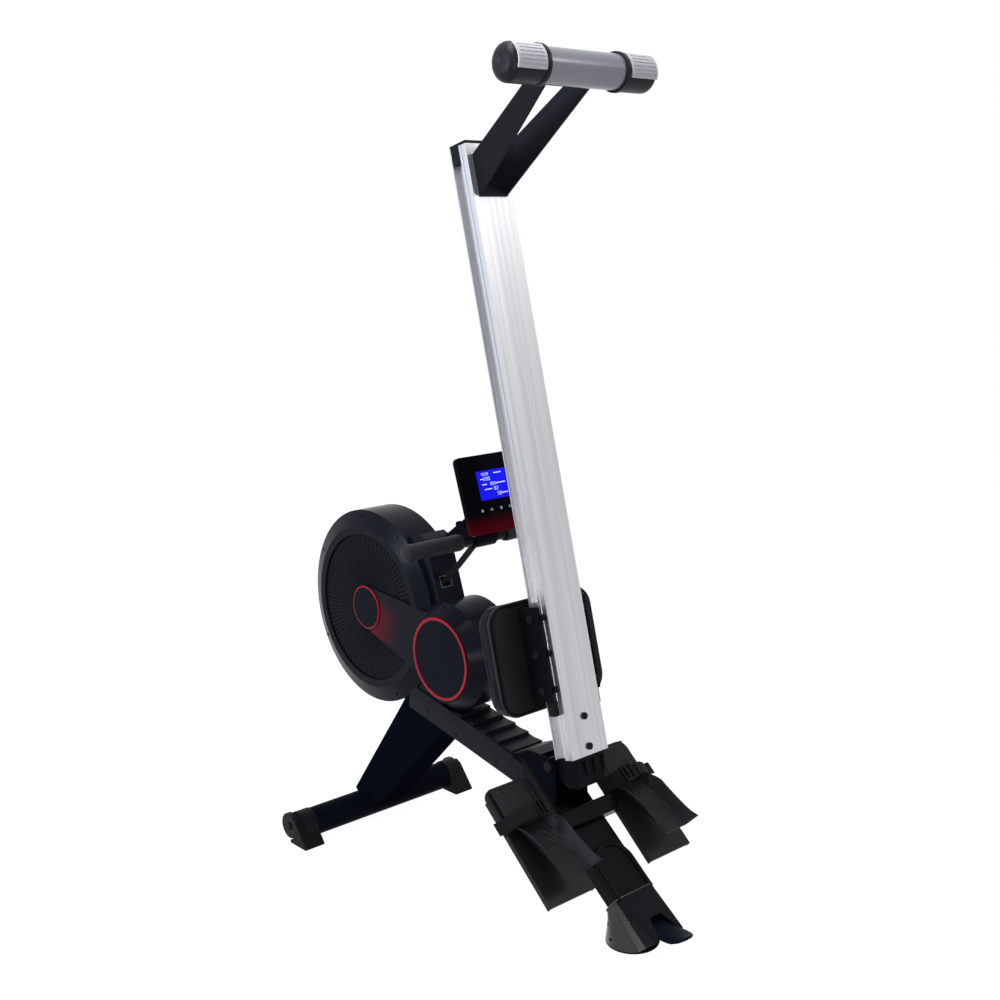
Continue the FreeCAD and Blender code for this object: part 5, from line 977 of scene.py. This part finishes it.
def puffed(thing, voxel, cap):
    """Inflates a closed pad with cloth under pressure, and keeps each point within cap of its start.

    What swells past the flat underside is pushed back to it.
    """
    remesh = thing.modifiers.new("remesh", "REMESH")
    remesh.mode = "VOXEL"
    remesh.voxel_size = voxel
    depsgraph = bpy.context.evaluated_depsgraph_get()
    dense = bpy.data.meshes.new_from_object(thing.evaluated_get(depsgraph))
    thing.modifiers.clear()
    thing.data = dense
    start = np.empty(len(dense.vertices) * 3)
    dense.vertices.foreach_get("co", start)
    cloth = thing.modifiers.new("cloth", "CLOTH")
    cloth.settings.use_pressure = True
    cloth.settings.uniform_pressure_force = 4.0
    cloth.settings.effector_weights.gravity = 0.0
    cloth.settings.tension_stiffness = 18
    cloth.settings.compression_stiffness = 12
    cloth.settings.bending_stiffness = 0.6
    scene = bpy.context.scene
    for step in range(1, 21):            # the cloth settles over twenty frames
        scene.frame_set(step)
    depsgraph = bpy.context.evaluated_depsgraph_get()
    blown = bpy.data.meshes.new_from_object(thing.evaluated_get(depsgraph))
    after = np.empty(len(blown.vertices) * 3)
    blown.vertices.foreach_get("co", after)
    thing.modifiers.clear()
    scene.frame_set(1)
    bpy.data.meshes.remove(blown)
    move = (after - start).reshape(-1, 3)
    length = np.linalg.norm(move, axis=1, keepdims=True)
    move *= np.minimum(1, cap / np.maximum(length, 1e-9))
    swollen = start.reshape(-1, 3) + move
    rail_out = np.array([math.cos(rail_lean), 0, math.sin(rail_lean)])
    under = (swollen - placed(rail_foot, rail_lean, seat_out, 0, seat_along)) @ rail_out
    swollen -= np.clip(under, 0, None)[:, None] * rail_out
    dense.vertices.foreach_set("co", swollen.ravel())
    dense.update()
    dense.shade_smooth()


seat_vinyl = finish("seat_vinyl", (0.0048, 0.0058, 0.0108), 0.36, shine=0.05, vary=0.2, bump=0.35,
                    grain=420, spread=9)
cushion = piece("seat_pad", *cushion_shell(), seat_vinyl, "seat")
puffed(cushion, voxel=0.005, cap=0.006)
cushion.data.materials.clear()
cushion.data.materials.append(seat_vinyl)
finer = cushion.modifiers.new("finer", "SUBSURF")
finer.levels = 1
finer.render_levels = 1
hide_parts("seat_cushion")


def piping(half_y, half_along, corner, out, thickness):
    """A round section carried along the rounded oblong."""
    columns = 12
    shape = rim(half_y, half_along, corner, count=20)
    heading = np.roll(shape, -1, 0) - np.roll(shape, 1, 0)
    heading /= np.linalg.norm(heading, axis=1, keepdims=True)
    angle = np.linspace(0, 2 * math.pi, columns, endpoint=False)
    off = thickness * np.cos(angle)
    y = shape[:, :1] + heading[:, 1:] * off
    along = shape[:, 1:] - heading[:, :1] * off
    points = placed(rail_foot, rail_lean, out + thickness * np.sin(angle), y, seat_along + along)
    return points.reshape(-1, 3), sheet_faces(len(shape), columns, around=True, along=True)


piping_vinyl = finish("piping_vinyl", (0.022, 0.022, 0.024), 0.4, shine=0.14, bump=0.1)
seams = [piping(0.1405, 0.1115, 0.040, -0.0772, 0.0024), piping(0.1375, 0.1085, 0.038, -0.1085, 0.0012)]
trim = piece("seat_piping", *merged(seams), piping_vinyl, "seat")
board_plastic = finish("seat_board_plastic", (0.0095, 0.0095, 0.0098), 0.45, shine=0.10, vary=0.3, bump=0.15,
                       grain=800, spread=30)
dress(board_plastic, "seat_board")
roller_nylon = finish("roller_nylon", (0.06, 0.058, 0.055), 0.4, shine=0.4, bump=0.05, grain=700)
dress(roller_nylon, "seat_rollers_low", "seat_rollers_middle", "seat_rollers_high")
